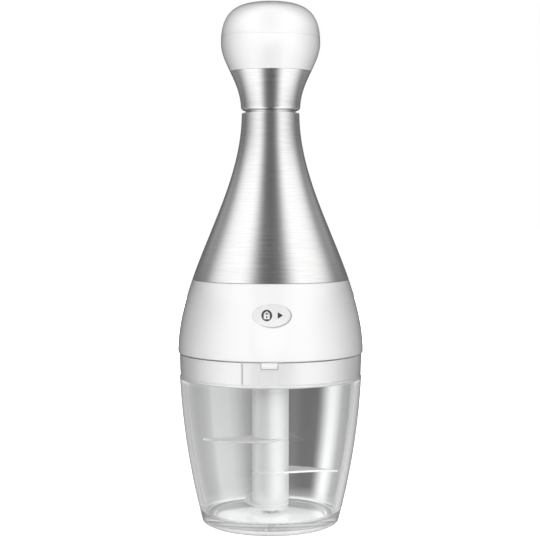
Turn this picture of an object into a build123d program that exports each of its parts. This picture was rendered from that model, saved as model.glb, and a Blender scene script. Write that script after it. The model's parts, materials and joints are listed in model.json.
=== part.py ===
import os
from math import asin, cos, degrees, radians, sin

from build123d import *

# Plunger food chopper shaped like a skittle. All lengths are in millimetres and all angles in
# degrees. +Z is up, the origin is the middle of the foot, and -Y is the front with the lock badge.

# ---- Fits -----------------------------------------------------------------------------------
seat_gap = 0.05  # between pieces that are pressed, screwed or bonded together
running_gap = 0.1  # between round faces that turn or slide in each other
end_gap = 0.4  # between end faces that turn past each other
seam_gap = 0.15  # shadow line between two visible covers
key_gap = 0.3  # on each face of the keys that slide in the guide tube

# ---- Bowl -----------------------------------------------------------------------------------
rim_height = 77.0
rim_radius = 48.05
foot_radius = 36.1
foot_height = 1.6  # where the curved wall starts above the table
wall_bulge = 2.0  # how far the wall swells outside a straight cone
bowl_wall = 3.0
floor_rise = 2.8  # hollow under the floor
floor_thickness = 3.3
floor_fillet = 3.0
foot_fillet = 0.7
stand_height = 0.8  # clear underside above the table
foot_ring_inset = 2.1  # ring's outer face inside the foot's edge
foot_ring_width = 3.6
foot_ring_groove = 2.2

# ---- Pivot in the bowl's floor --------------------------------------------------------------
pin_radius = 1.75
pin_height = 10.0  # above the floor
pin_sink = 2.8  # below the floor
boss_radius = 4.2
boss_top_radius = 3.4
boss_height = 1.4

# ---- Collar ---------------------------------------------------------------------------------
collar_height = 12.8
collar_inset = 0.35  # lower edge inside the bowl's rim
collar_flare = 0.45  # top wider than the lower edge
collar_wall = 1.45
ledge_height = 2.8  # bayonet ledge at the collar's mouth
ledge_width = 2.25
lug_count = 4
lug_sweep = 10.0  # degrees
slot_margin = 1.0  # degrees, entry slot beyond each end of a lug
lug_thickness = 2.8
lug_reach = 2.2
unlock_turn = 12.0  # degrees from locked to open
step_angle = 17.5  # end stop of the index tab, left of the front
recess_depth = 0.65
recess_fade = 58.0  # degrees over which the recess runs out
recess_lip_height = 0.6  # full collar left under the recess
window_width = 9.7
window_height = 8.1
window_drop = 3.3  # below the collar's top
window_depth = 0.35
window_corner_radius = 1.2

# ---- Skittle-shaped head --------------------------------------------------------------------
head_gap = 0.6  # between collar and housing
belly_overhang = 0.75  # belly outside the collar's top
neck_gap = 0.2  # between guide tube and steel shell
housing_height = 38.0
shell_height = 88.5
belly_fullness = 0.344  # share of the head's height that steers the outline above the belly
neck_fullness = 0.354  # the same below the neck
housing_wall = 2.2
shell_wall = 0.8
spigot_height = 6.0
spigot_wall = 1.6
tab_width = 8.2
tab_drop = 3.2
tab_thickness = 0.8
tab_gap = 0.4  # above the deepest part of the recess
badge_width = 19.4
badge_height = 11.6
badge_rise = 22.8  # its middle, above the housing's lower edge
badge_proud = 0.5
badge_sink = 0.9
screw_inset = 7.0  # screw axes inside the frame plate's edge
screw_count = 3
screw_radius = 1.6
screw_length = 11.0
screw_head_radius = 3.0
screw_head_height = 2.0
screw_cross_length = 3.6
screw_cross_width = 0.75
screw_cross_depth = 1.2
boss_post_radius = 3.8
boss_post_height = 12.5
boss_post_end = 1.0  # solid end above the screw hole
boss_rib_width = 2.0

# ---- Lid under the head ---------------------------------------------------------------------
lid_clearance = 0.2  # lid underside above the bowl's rim
lid_disc = 2.2
plug_wall = 2.0
plug_gap = 0.3
lid_flange = 2.2
lid_hook_height = 1.4
lid_hook_reach = 1.6
hook_count = 6
hook_sweep = 14.0  # degrees
hook_slit = 1.6
lid_rib_count = 12
lid_rib_width = 1.4
lid_rib_height = 3.2
lid_rib_gap = 2.4  # round the ratchet cup
ledge_ring_height = 1.6
ledge_ring_width = 2.1
lid_boss_length = 6.8
seal_height = 2.8
seal_groove_depth = 0.9
seal_rise = 1.8
shaft_seal_height = 2.4
shaft_seal_width = 1.9
washer_thickness = 0.8
washer_width = 6.0

# ---- Mechanism ------------------------------------------------------------------------------
stroke = 45.0
lead_length = 36.0  # travel of the plunger for one turn of the spindle
plunger_radius = 11.0
plunger_wall = 1.2
bush_wall = 1.35
bush_flange_width = 2.15
bush_flange_height = 1.0
guide_wall = 1.75
plate_rise = 6.6  # frame plate above the housing's lower edge
plate_thickness = 2.5
plate_margin = 3.7  # to the housing's wall
gusset_count = 6
gusset_width = 1.8
gusset_height = 26.0
gusset_reach = 14.0
window_sweep = 62.0  # degrees, openings in the frame plate
key_width = 3.0
key_depth = 0.8
nut_height = 8.0
nut_spigot = 8.0
spring_length = 36.5  # with the plunger down
spring_wire = 0.7  # radius
spring_coils = 9
spring_gap = 0.6  # to the guide tube
stop_gap = 0.5  # nut to bush at the top of the stroke
lobe_count = 4
lobe_radius = 1.9
lobe_circle_radius = 3.3
spindle_core = 3.6
lobe_blend = 0.6
thread_gap = 0.3
helix_overrun = 6.0  # spindle above the nut's upper face at the top of the stroke
journal_radius = 5.0
journal_bush_wall = 3.0
journal_bush_flange = 0.8
bearing_boss_height = 2.8
bearing_boss_wall = 2.5
spindle_collar_radius = 8.0
spindle_collar_height = 2.0
spindle_square = 7.0
clip_thickness = 0.8
clip_groove = 0.8
clip_reach = 2.4

# ---- One-way clutch -------------------------------------------------------------------------
shank_radius = 6.2
cup_radius = 18.0
cup_wall = 1.6
cup_floor = 2.4
cup_height = 8.4
tooth_count = 18
tooth_depth = 1.6
pawl_count = 3
pawl_hub_radius = 7.4
pawl_arm_width = 1.7
pawl_height = 4.6
pawl_gap = 0.35
pawl_lift = 1.2  # above the cup's floor

# ---- Blade column ---------------------------------------------------------------------------
column_radius = 9.4
column_gap = 0.45  # above the floor's boss
column_foot_height = 1.9
lower_sleeve_length = 16.35
middle_sleeve_length = 16.6
hex_flats = 10.6
hex_gap = 0.1  # on each flat
sleeve_chamfer = 0.25
core_end_radius = 4.6
cup_bush_wall = 1.0
cup_bush_cap = 1.2
dog_length = 9.0
blade_thickness = 1.0
blade_edge = 0.25  # thickness left at the ground edge
blade_grind = 1.5  # how far the ground face reaches in
blade_tip_gap = 3.05  # to the bowl's wall
lower_blade_tip_gap = 0.9
hub_inset = 0.15
blade_fullness = 14.5  # how far the cutting edge swells round the column
lower_blade_fullness = 11.0
blade_root_angle = 150.0  # where the cutting edge leaves the hub
blade_tip_angle = 7.0
blade_back_angle = 5.5  # the tip's rear corner
blade_heel_angle = -38.0  # where the hollow back reaches the hub
edge_pull = (0.61, 0.325)  # shares of the reach that bow the cutting edge
back_pull = (0.72, 0.46)  # shares of the reach that bow the hollow back
back_lift = (0.5, -0.1)  # shares of the hub's radius, likewise
crank_gap = 0.4  # from the column to the bend in the upper blades
crank_length = 4.7
upper_blade_crank = 1.5
middle_blade_crank = 0.8
upper_blade_angle = 181.0
middle_blade_angle = 350.0
lower_blade_angle = 97.0

# ---- Knob -----------------------------------------------------------------------------------
knob_gap = 0.5  # steel collar above the bush's flange
knob_collar_height = 20.3
knob_flank_height = 35.3  # up to the widest level
knob_crown_height = 21.6  # above the widest level
knob_seam_rise = 2.6  # above the widest level
knob_radius = 26.1
stem_overhang = 0.4  # stem wider than the neck
stem_fullness = 0.433  # shares of the flank's height that steer its outline
waist_fullness = 0.323
dome_fullness = 0.93  # share of the crown's height
crown_fullness = 0.513  # share of the knob's radius
knob_collar_wall = 0.8
knob_collar_lip = 2.2
knob_collar_fillet = 1.4
knob_wall = 2.4
knob_web = 3.4
cap_skirt_height = 4.6
cap_skirt_wall = 1.6
plunger_grip = 24.8  # length of tube inside the knob
buffer_height = 1.4
buffer_gap = 0.3
buffer_width = 1.9
plug_length = 11.0
knob_screw_radius = 2.5
knob_screw_head_radius = 4.5
knob_screw_head_height = 3.0
knob_screw_length = 13.0
knob_screw_socket_radius = 2.0
knob_screw_socket_depth = 1.8

# ---- Heights that follow from the sizes above -----------------------------------------------
floor_top = floor_rise + floor_thickness
column_bottom = floor_top + boss_height + column_gap
lower_blade_middle = column_bottom + column_foot_height + blade_thickness / 2
middle_blade_middle = lower_blade_middle + lower_sleeve_length + blade_thickness
upper_blade_middle = middle_blade_middle + middle_sleeve_length + blade_thickness
lid_underside = rim_height + lid_clearance
lid_boss_bottom = lid_underside - lid_boss_length
column_top = lid_boss_bottom - end_gap
core_bottom = column_bottom + end_gap / 2
core_top = column_top - dog_length - end_gap
pin_top = floor_top + pin_height
collar_top = rim_height + collar_height
ledge_bottom = collar_top - ledge_height
lug_bottom = ledge_bottom - running_gap - lug_thickness
neck_top = lug_bottom - end_gap
housing_bottom = collar_top + head_gap
seam_height = housing_bottom + housing_height
shell_top = seam_height + shell_height
lid_top = lid_underside + lid_disc
lid_flange_top = housing_bottom + lid_flange
ledge_ring_top = lid_flange_top + ledge_ring_height
lid_wall_top = ledge_ring_top + lid_hook_height + running_gap
plate_bottom = housing_bottom + plate_rise
plate_top = plate_bottom + plate_thickness
nut_bottom = plate_top + spring_length
tube_bottom = nut_bottom + nut_height
bush_bottom = tube_bottom + stroke + stop_gap
bush_top = shell_top + bush_flange_height
guide_top = shell_top - shell_wall
washer_top = lid_top + washer_thickness
cup_bottom = washer_top + running_gap
cup_floor_top = cup_bottom + cup_floor
pawl_bottom = cup_floor_top + pawl_lift
spindle_foot = cup_floor_top + end_gap
bearing_bottom = plate_bottom - bearing_boss_height
spindle_collar_bottom = plate_top + journal_bush_flange + running_gap
helix_bottom = spindle_collar_bottom + spindle_collar_height
helix_top = tube_bottom + stroke + helix_overrun
clip_top = bearing_bottom - running_gap
knob_bottom = bush_top + knob_gap
knob_collar_top = knob_bottom + knob_collar_height
knob_widest = knob_bottom + knob_flank_height
knob_seam = knob_widest + knob_seam_rise
knob_top = knob_widest + knob_crown_height
buffer_bottom = bush_top + buffer_gap
stem_bottom = buffer_bottom + buffer_height
tube_top = knob_bottom + plunger_grip
web_top = tube_top + knob_web

# ---- Radii that follow ----------------------------------------------------------------------
collar_bottom_radius = rim_radius - collar_inset
collar_top_radius = collar_bottom_radius + collar_flare
belly_radius = collar_top_radius + belly_overhang
plate_radius = belly_radius - housing_wall - plate_margin
screw_circle_radius = plate_radius - screw_inset
bowl_neck_outer = collar_bottom_radius - collar_wall - seat_gap
bowl_neck_inner = rim_radius - bowl_wall
channel_radius = collar_bottom_radius - collar_wall
ledge_radius = channel_radius - ledge_width
plug_radius = ledge_radius - plug_gap
foot_ring_radius = foot_radius - foot_ring_inset
foot_ring_inner = foot_ring_radius - foot_ring_width
guide_bore = plunger_radius + running_gap / 2 + bush_wall + seat_gap
guide_radius = guide_bore + guide_wall
neck_radius = guide_radius + neck_gap + shell_wall
stem_radius = neck_radius + stem_overhang
nut_radius = guide_bore - running_gap
bush_flange_radius = plunger_radius + running_gap / 2 + bush_flange_width
journal_bush_radius = journal_radius + running_gap / 2 + journal_bush_wall
bearing_boss_radius = journal_bush_radius + bearing_boss_wall
cup_root_radius = cup_radius - cup_wall
cup_tip_radius = cup_root_radius - tooth_depth
cup_bush_radius = pin_radius + seat_gap + cup_bush_wall
lid_boss_radius = column_radius
blade_hub_radius = column_radius - hub_inset
crank_start = column_radius + crank_gap
crank_end = crank_start + crank_length

os.makedirs("parts", exist_ok=True)


def polar_point(radius, angle):
    """Returns the flat coordinates of a point at a radius and an angle from +X."""
    return (radius * cos(radians(angle)), radius * sin(radians(angle)))


def bowl_inner_radius(height):
    """Returns the radius of the bowl's inner wall at a height."""
    share = (height - foot_height) / (rim_height - foot_height)
    cone = foot_radius + (rim_radius - foot_radius) * share
    return cone + 4 * wall_bulge * share * (1 - share) - bowl_wall


def band(inner, outer, bottom, top, mode=Mode.ADD):
    """Adds a rectangle between two radii and two heights to the open sketch."""
    with Locations(((inner + outer) / 2, (bottom + top) / 2)):
        Rectangle(outer - inner, top - bottom, mode=mode)


def skittle_curve(inset):
    """Draws the outline of the head, moved inwards by inset, from belly to neck."""
    head_height = shell_top - housing_bottom
    return Bezier(
        (belly_radius - inset, housing_bottom),
        (belly_radius - inset, housing_bottom + belly_fullness * head_height),
        (neck_radius - inset, shell_top - neck_fullness * head_height),
        (neck_radius - inset, shell_top),
    )


def skittle_wall(outer_inset, inner_inset, bottom, top):
    """Adds the stretch of a skittle-shaped wall that lies between two heights."""
    with BuildSketch(Plane.XZ, mode=Mode.PRIVATE) as wall:
        with BuildLine():
            outside = skittle_curve(outer_inset)
            inside = skittle_curve(inner_inset)
            Line(outside @ 0, inside @ 0)
            Line(outside @ 1, inside @ 1)
        make_face()
    with BuildSketch(Plane.XZ, mode=Mode.PRIVATE) as stretch:
        band(0, 2 * belly_radius, bottom, top)
    add(wall.sketch_local & stretch.sketch_local)


def skittle_fill(inset, bottom, top):
    """Adds everything inside the skittle outline between two heights."""
    with BuildSketch(Plane.XZ, mode=Mode.PRIVATE) as fill:
        with BuildLine():
            outside = skittle_curve(inset)
            Polyline(outside @ 0, (0, housing_bottom), (0, shell_top), outside @ 1)
        make_face()
    with BuildSketch(Plane.XZ, mode=Mode.PRIVATE) as stretch:
        band(0, 2 * belly_radius, bottom, top)
    add(fill.sketch_local & stretch.sketch_local)


def bowl_curve(inset):
    """Draws the bowl's wall, moved inwards by inset, from foot to rim."""
    middle = ((foot_radius + rim_radius) / 2 + wall_bulge, (foot_height + rim_height) / 2)
    return ThreePointArc(
        (foot_radius - inset, foot_height),
        (middle[0] - inset, middle[1]),
        (rim_radius - inset, rim_height),
    )


def knob_curve(inset):
    """Draws the knob's outline below its widest level, moved inwards by inset."""
    return Bezier(
        (stem_radius - inset, knob_bottom),
        (stem_radius - inset, knob_bottom + stem_fullness * knob_flank_height),
        (knob_radius - inset, knob_widest - waist_fullness * knob_flank_height),
        (knob_radius - inset, knob_widest),
    )


def dome_curve(inset):
    """Draws the knob's crown, moved inwards by inset, from the widest level to the top."""
    return Bezier(
        (knob_radius - inset, knob_widest),
        (knob_radius - inset, knob_widest + dome_fullness * knob_crown_height - inset),
        (crown_fullness * knob_radius, knob_top - inset),
        (0, knob_top - inset),
    )


def knob_wall_section(outer_inset, inner_inset, bottom, top):
    """Adds the stretch of the knob's wall that lies between two heights."""
    knob_fill_section(outer_inset, bottom, top)
    knob_fill_section(inner_inset, bottom, top, mode=Mode.SUBTRACT)


def knob_fill_section(inset, bottom, top, mode=Mode.ADD):
    """Adds everything inside the knob's outline between two heights."""
    with BuildSketch(Plane.XZ, mode=Mode.PRIVATE) as fill:
        with BuildLine():
            flank = knob_curve(inset)
            crown = dome_curve(inset)
            Polyline(crown @ 1, (0, knob_bottom), flank @ 0)
        make_face()
    with BuildSketch(Plane.XZ, mode=Mode.PRIVATE) as stretch:
        band(0, 2 * knob_radius, bottom, top)
    add(fill.sketch_local & stretch.sketch_local, mode=mode)


def sector(inner, outer, middle_angle, width_angle, mode=Mode.ADD):
    """Adds a slice of a ring to the open sketch, with angles counted from the front."""
    start = middle_angle - 90 - width_angle / 2
    with BuildLine() as outline:
        near = CenterArc((0, 0), inner, start, width_angle)
        far = CenterArc((0, 0), outer, start, width_angle)
        Line(near @ 0, far @ 0)
        Line(near @ 1, far @ 1)
    make_face(outline.edges(), mode=mode)


def badge_layer(margin, depth):
    """Returns the oval patch of the housing's surface where the badge sits."""
    with BuildSketch(Plane.XZ, mode=Mode.PRIVATE) as skin:
        skittle_wall(-badge_proud, depth, housing_bottom, seam_height)
    with BuildSketch(Plane.XZ, mode=Mode.PRIVATE) as oval:
        with Locations((0, housing_bottom + badge_rise)):
            Ellipse(badge_width / 2 + margin, badge_height / 2 + margin)
    layer = revolve(skin.sketch, axis=Axis.Z, mode=Mode.PRIVATE)
    return layer & extrude(oval.sketch, amount=2 * belly_radius, mode=Mode.PRIVATE)


def save(piece, name):
    """Labels one finished piece and writes it as a STEP file."""
    piece.part.label = name
    export_step(piece.part, f"parts/{name}.step")


# ---- Bowl with its thin neck, foot groove and pivot boss --------------------------------------
with BuildPart() as bowl:
    with BuildSketch(Plane.XZ) as outside:
        with BuildLine():
            wall = bowl_curve(0)
            Polyline(
                wall @ 1,
                (bowl_neck_outer, rim_height),
                (bowl_neck_outer, neck_top),
                (0, neck_top),
                (0, stand_height),
                (foot_radius - foot_fillet, stand_height),
                wall @ 0,
            )
        make_face()
    revolve(axis=Axis.Z)
    with BuildSketch(Plane.XZ) as cavity:
        with BuildLine():
            wall = bowl_curve(bowl_wall)
            Polyline(
                wall @ 1,
                (bowl_neck_inner, 2 * neck_top),
                (0, 2 * neck_top),
                (0, foot_height),
                wall @ 0,
            )
        make_face()
        band(0, 2 * rim_radius, -floor_top, floor_top, mode=Mode.SUBTRACT)
        fillet(cavity.vertices().group_by(Axis.Y)[0].sort_by(Axis.X)[-1], floor_fillet)
    revolve(axis=Axis.Z, mode=Mode.SUBTRACT)
    with BuildSketch(Plane.XZ) as hollows:
        band(foot_ring_inner, foot_ring_radius, 0, stand_height + foot_ring_groove)
        band(0, foot_ring_inner - bowl_wall / 2, 0, floor_rise)
    revolve(axis=Axis.Z, mode=Mode.SUBTRACT)
    with BuildSketch(Plane.XZ) as boss:
        with BuildLine():
            Polyline(
                (0, floor_top - floor_thickness / 2),
                (boss_radius, floor_top - floor_thickness / 2),
                (boss_radius, floor_top),
                (boss_top_radius, floor_top + boss_height),
                (0, floor_top + boss_height),
                close=True,
            )
        make_face()
    revolve(axis=Axis.Z)
    with BuildSketch(Plane.XY.offset(floor_top + boss_height)):
        Circle(pin_radius)
    extrude(amount=-(boss_height + pin_sink), mode=Mode.SUBTRACT)
    lip = bowl.edges().filter_by(GeomType.CIRCLE).group_by(Axis.Z)[-1]
    fillet(lip, (bowl_neck_outer - bowl_neck_inner) / 4)
save(bowl, "bowl")

with BuildPart() as foot_ring:
    with BuildSketch(Plane.XZ):
        band(
            foot_ring_inner + seat_gap,
            foot_ring_radius - seat_gap,
            0,
            stand_height + foot_ring_groove,
        )
    revolve(axis=Axis.Z)
    fillet(foot_ring.edges().group_by(Axis.Z)[0], stand_height / 2)
save(foot_ring, "foot_ring")

with BuildPart() as pivot_pin:
    with BuildSketch(Plane.XY.offset(floor_top - pin_sink)):
        Circle(pin_radius)
    extrude(amount=pin_sink + pin_height)
    fillet(pivot_pin.edges().group_by(Axis.Z)[-1], pin_radius / 2)
save(pivot_pin, "pivot_pin")

# ---- Collar: bayonet ledge inside, run-out recess and catch window outside --------------------
with BuildPart() as bowl_collar:
    with BuildSketch(Plane.XZ):
        with BuildLine():
            Polyline(
                (channel_radius, rim_height),
                (collar_bottom_radius, rim_height),
                (collar_top_radius, collar_top),
                (ledge_radius, collar_top),
                (ledge_radius, ledge_bottom),
                (channel_radius, ledge_bottom),
                close=True,
            )
        make_face()
    revolve(axis=Axis.Z)
    # entry slots that let the lugs through when the head is turned to open
    with BuildSketch(Plane.XY.offset(ledge_bottom)):
        for lug in range(lug_count):
            sector(
                ledge_radius / 2,
                channel_radius,
                (lug + 0.5) * 360 / lug_count - unlock_turn,
                lug_sweep + 2 * slot_margin,
            )
    extrude(amount=ledge_height, mode=Mode.SUBTRACT)
    # the recess is deepest at the step and runs out round the front
    recess_radius = collar_top_radius - recess_depth
    run_out = recess_depth / sin(radians(recess_fade))
    away = radians(-step_angle)
    with BuildSketch(Plane.XY.offset(rim_height + recess_lip_height)):
        sector(recess_radius / 2, 2 * rim_radius, recess_fade / 2 - step_angle, recess_fade)
        with Locations((run_out * cos(away), run_out * sin(away))):
            Circle(recess_radius, mode=Mode.SUBTRACT)
    extrude(amount=collar_height, mode=Mode.SUBTRACT)
    window_middle = collar_top - window_drop - window_height / 2
    with BuildSketch(Plane.XZ.offset(recess_radius - window_depth)):
        with Locations((0, window_middle)):
            RectangleRounded(window_width, window_height, window_corner_radius)
    extrude(amount=2 * recess_depth, mode=Mode.SUBTRACT)
save(bowl_collar, "bowl_collar")

# ---- Housing ----------------------------------------------------------------------------------
with BuildPart() as housing:
    with BuildSketch(Plane.XY.offset(plate_top)):
        with PolarLocations(screw_circle_radius, screw_count, start_angle=90):
            Circle(boss_post_radius)
        with PolarLocations(screw_circle_radius + belly_radius / 4, screw_count, start_angle=90):
            Rectangle(belly_radius / 2, boss_rib_width)
    extrude(amount=boss_post_height)
    with BuildSketch(Plane.XZ):
        skittle_fill(housing_wall / 2, housing_bottom, seam_height)
    revolve(axis=Axis.Z, mode=Mode.INTERSECT)
    with BuildSketch(Plane.XZ):
        skittle_wall(0, housing_wall, housing_bottom, seam_height)
        skittle_wall(
            shell_wall + seat_gap,
            shell_wall + seat_gap + spigot_wall,
            seam_height - housing_wall,
            seam_height + spigot_height,
        )
        band(
            belly_radius - housing_wall - ledge_ring_width,
            belly_radius - housing_wall / 2,
            lid_flange_top,
            ledge_ring_top,
        )
    revolve(axis=Axis.Z)
    with BuildSketch(Plane.XY.offset(plate_top)):
        with PolarLocations(screw_circle_radius, screw_count, start_angle=90):
            Circle(screw_radius)
    extrude(amount=boss_post_height - boss_post_end, mode=Mode.SUBTRACT)
    seat = badge_layer(seam_gap, badge_sink + seat_gap)
    add(seat, mode=Mode.SUBTRACT)
    # index tab that hangs over the collar's recess
    tab_inner = collar_top_radius - recess_depth + tab_gap
    with BuildSketch(Plane.XY.offset(housing_bottom - tab_drop)):
        sector(
            tab_inner,
            tab_inner + tab_thickness,
            0,
            2 * degrees(asin(tab_width / 2 / collar_top_radius)),
        )
    extrude(amount=tab_drop + housing_wall / 2)
save(housing, "housing")

# ---- Steel shell between housing and neck ------------------------------------------------------
with BuildPart() as neck_shell:
    with BuildSketch(Plane.XZ) as section:
        skittle_wall(0, shell_wall, seam_height + seam_gap, shell_top)
        band(guide_bore, neck_radius - shell_wall / 2, guide_top, shell_top)
        corner = section.vertices().group_by(Axis.Y)[-1].sort_by(Axis.X)[-1]
        fillet(corner, shell_wall * 0.9)
    revolve(axis=Axis.Z)
save(neck_shell, "neck_shell")

with BuildPart() as lock_badge:
    add(badge_layer(0, badge_sink))
    fillet(lock_badge.edges().group_by(Axis.Y)[0], badge_proud / 2)
save(lock_badge, "lock_badge")

# ---- Lid: hollow plug with bayonet lugs, snap hooks, ribs and shaft boss ------------------------
shank_bore = shank_radius + running_gap / 2
seal_bottom = lid_underside + seal_rise
with BuildPart() as lid_plate:
    with BuildSketch(Plane.XZ):
        band(shank_bore, plug_radius, lid_underside, lid_top)
        band(plug_radius - plug_wall, plug_radius, lid_underside, lid_wall_top)
        band(shank_bore, lid_boss_radius, lid_boss_bottom, lid_top)
        band(
            plug_radius - plug_wall / 2,
            belly_radius - housing_wall - plug_gap,
            housing_bottom,
            lid_flange_top,
        )
        band(
            plug_radius - seal_groove_depth,
            2 * plug_radius,
            seal_bottom,
            seal_bottom + seal_height,
            mode=Mode.SUBTRACT,
        )
        band(
            0,
            shank_bore + shaft_seal_width,
            lid_boss_bottom,
            lid_boss_bottom + shaft_seal_height,
            mode=Mode.SUBTRACT,
        )
    revolve(axis=Axis.Z)
    with BuildSketch(Plane.XY.offset(lug_bottom)):
        for lug in range(lug_count):
            sector(
                plug_radius - plug_wall / 2,
                plug_radius + lug_reach,
                (lug + 0.5) * 360 / lug_count,
                lug_sweep,
            )
    extrude(amount=lug_thickness)
    with BuildSketch(Plane.XY.offset(ledge_ring_top + running_gap)):
        for hook in range(hook_count):
            sector(
                plug_radius - plug_wall / 2,
                plug_radius + lid_hook_reach,
                hook * 360 / hook_count,
                hook_sweep,
            )
    extrude(amount=lid_hook_height)
    with BuildSketch(Plane.XY.offset(ledge_ring_top - ledge_ring_height / 2)):
        with PolarLocations(plug_radius, hook_count, start_angle=180 / hook_count - 90):
            Rectangle(plug_radius / 2, hook_slit)
    extrude(amount=lid_wall_top, mode=Mode.SUBTRACT)
    rib_start = cup_radius + lid_rib_gap
    rib_end = plug_radius - plug_wall / 2
    with BuildSketch(Plane.XY.offset(lid_top)):
        with PolarLocations((rib_start + rib_end) / 2, lid_rib_count):
            Rectangle(rib_end - rib_start, lid_rib_width)
    extrude(amount=lid_rib_height)
save(lid_plate, "lid_plate")

with BuildPart() as lid_seal:
    with BuildSketch(Plane.XZ) as section:
        band(
            plug_radius - seal_groove_depth + seat_gap,
            bowl_neck_inner - running_gap,
            seal_bottom + seat_gap,
            seal_bottom + seal_height - seat_gap,
        )
        fillet(section.vertices().group_by(Axis.X)[-1], seal_height / 4)
    revolve(axis=Axis.Z)
save(lid_seal, "lid_seal")

with BuildPart() as shaft_seal:
    with BuildSketch(Plane.XZ) as section:
        band(
            shank_bore,
            shank_bore + shaft_seal_width - seat_gap,
            lid_boss_bottom,
            lid_boss_bottom + shaft_seal_height - seat_gap,
        )
        fillet(section.vertices().group_by(Axis.Y)[0], shaft_seal_width / 4)
    revolve(axis=Axis.Z)
save(shaft_seal, "shaft_seal")

with BuildPart() as thrust_washer:
    with BuildSketch(Plane.XY.offset(lid_top)):
        Circle(shank_bore + washer_width)
        Circle(shank_bore + seam_gap, mode=Mode.SUBTRACT)
    extrude(amount=washer_thickness)
save(thrust_washer, "thrust_washer")

# ---- Core frame: plate, keyed guide tube, gussets and spindle bearing ---------------------------
with BuildPart() as core_frame:
    with BuildSketch(Plane.XY.offset(plate_bottom)):
        Circle(plate_radius)
        with PolarLocations(screw_circle_radius, screw_count, start_angle=90):
            Circle(screw_radius + end_gap / 2, mode=Mode.SUBTRACT)
        for window in range(screw_count):
            sector(
                guide_radius + gusset_reach + gusset_width / 2,
                screw_circle_radius + boss_post_radius,
                window * 360 / screw_count,
                window_sweep,
                mode=Mode.SUBTRACT,
            )
    extrude(amount=plate_thickness)
    with BuildSketch(Plane.XY.offset(bearing_bottom)):
        Circle(bearing_boss_radius)
    extrude(amount=bearing_boss_height)
    with BuildSketch(Plane.XY.offset(plate_top)):
        Circle(guide_radius)
    extrude(amount=guide_top - plate_top)
    with BuildSketch(Plane.XZ) as gusset:
        with BuildLine():
            Polyline(
                (guide_bore + guide_wall / 2, plate_top - plate_thickness / 2),
                (guide_radius + gusset_reach, plate_top - plate_thickness / 2),
                (guide_radius + gusset_reach, plate_top),
                (guide_radius, plate_top + gusset_height),
                (guide_bore + guide_wall / 2, plate_top + gusset_height),
                close=True,
            )
        make_face()
    fin = extrude(gusset.sketch, amount=gusset_width / 2, both=True, mode=Mode.PRIVATE)
    with PolarLocations(0, gusset_count, start_angle=30):
        add(fin)
    with BuildSketch(Plane.XY.offset(plate_top)):
        Circle(guide_bore)
        with PolarLocations(guide_bore, 2):
            Rectangle(2 * key_depth, key_width)
    extrude(amount=shell_top, mode=Mode.SUBTRACT)
    with BuildSketch(Plane.XY.offset(bearing_bottom)):
        Circle(journal_bush_radius + seat_gap)
    extrude(amount=shell_top, mode=Mode.SUBTRACT)
save(core_frame, "core_frame")

with BuildPart() as neck_bush:
    with BuildSketch(Plane.XZ):
        band(
            plunger_radius + running_gap / 2,
            guide_bore - seat_gap,
            bush_bottom,
            bush_top,
        )
        band(
            plunger_radius + running_gap / 2,
            bush_flange_radius,
            shell_top,
            bush_top,
        )
    revolve(axis=Axis.Z)
    with BuildSketch(Plane.XY.offset(bush_bottom)):
        with PolarLocations(guide_bore, 2):
            Rectangle(2 * (key_depth - running_gap), key_width - running_gap)
        Circle(guide_bore - guide_wall / 2, mode=Mode.SUBTRACT)
    extrude(amount=nut_height)
save(neck_bush, "neck_bush")

with BuildPart() as spindle_bush:
    with BuildSketch(Plane.XZ):
        band(
            journal_radius + running_gap / 2,
            journal_bush_radius,
            bearing_bottom,
            plate_top + journal_bush_flange,
        )
        band(
            journal_radius + running_gap / 2,
            journal_bush_radius + journal_bush_flange,
            plate_top,
            plate_top + journal_bush_flange,
        )
    revolve(axis=Axis.Z)
save(spindle_bush, "spindle_bush")

with BuildPart() as frame_screws:
    with BuildSketch(Plane.XY.offset(plate_bottom - screw_head_height)):
        with PolarLocations(screw_circle_radius, screw_count, start_angle=90):
            Circle(screw_head_radius)
    extrude(amount=screw_head_height)
    fillet(frame_screws.edges().group_by(Axis.Z)[0], screw_head_height / 3)
    with BuildSketch(Plane.XY.offset(plate_bottom)):
        with PolarLocations(screw_circle_radius, screw_count, start_angle=90):
            Circle(screw_radius - seat_gap)
    extrude(amount=screw_length)
    with BuildSketch(Plane.XY.offset(plate_bottom - screw_head_height)):
        with PolarLocations(screw_circle_radius, screw_count, start_angle=90):
            Rectangle(screw_cross_length, screw_cross_width)
            Rectangle(screw_cross_width, screw_cross_length)
    extrude(amount=screw_cross_depth, mode=Mode.SUBTRACT)
save(frame_screws, "frame_screws")

# ---- Return spring -----------------------------------------------------------------------------
spring_radius = guide_bore - spring_wire - spring_gap
spring_rise = spring_length - 2 * spring_wire - 2 * seat_gap
with BuildPart() as return_spring:
    with BuildLine(Plane.XY.offset(plate_top + spring_wire + seat_gap)) as coil:
        Helix(spring_rise / spring_coils, spring_rise, spring_radius)
    with BuildSketch(Plane(coil.line @ 0, z_dir=coil.line % 0)):
        Circle(spring_wire)
    sweep(is_frenet=True)
save(return_spring, "return_spring")

# ---- Helical spindle and its nut ---------------------------------------------------------------
def lobed_section(margin):
    """Adds the spindle's cross-section, grown by margin, to the open sketch."""
    Circle(spindle_core + margin)
    with PolarLocations(lobe_circle_radius, lobe_count):
        Circle(lobe_radius + margin)


def twisted_bar(section, bottom, top):
    """Returns the section extruded between two heights with the spindle's twist."""
    first = Pos(0, 0, bottom) * Rot(0, 0, 360 * (bottom - helix_bottom) / lead_length) * section
    turn = 360 * (top - bottom) / lead_length
    centre = (0, 0, bottom)
    return Solid.extrude_linear_with_rotation(first.face(), centre, (0, 0, top - bottom), turn)


with BuildSketch() as spindle_profile:
    lobed_section(0)
    fillet(spindle_profile.vertices(), lobe_blend)

with BuildSketch() as nut_profile:
    lobed_section(thread_gap)
    fillet(nut_profile.vertices(), lobe_blend - thread_gap)

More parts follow.
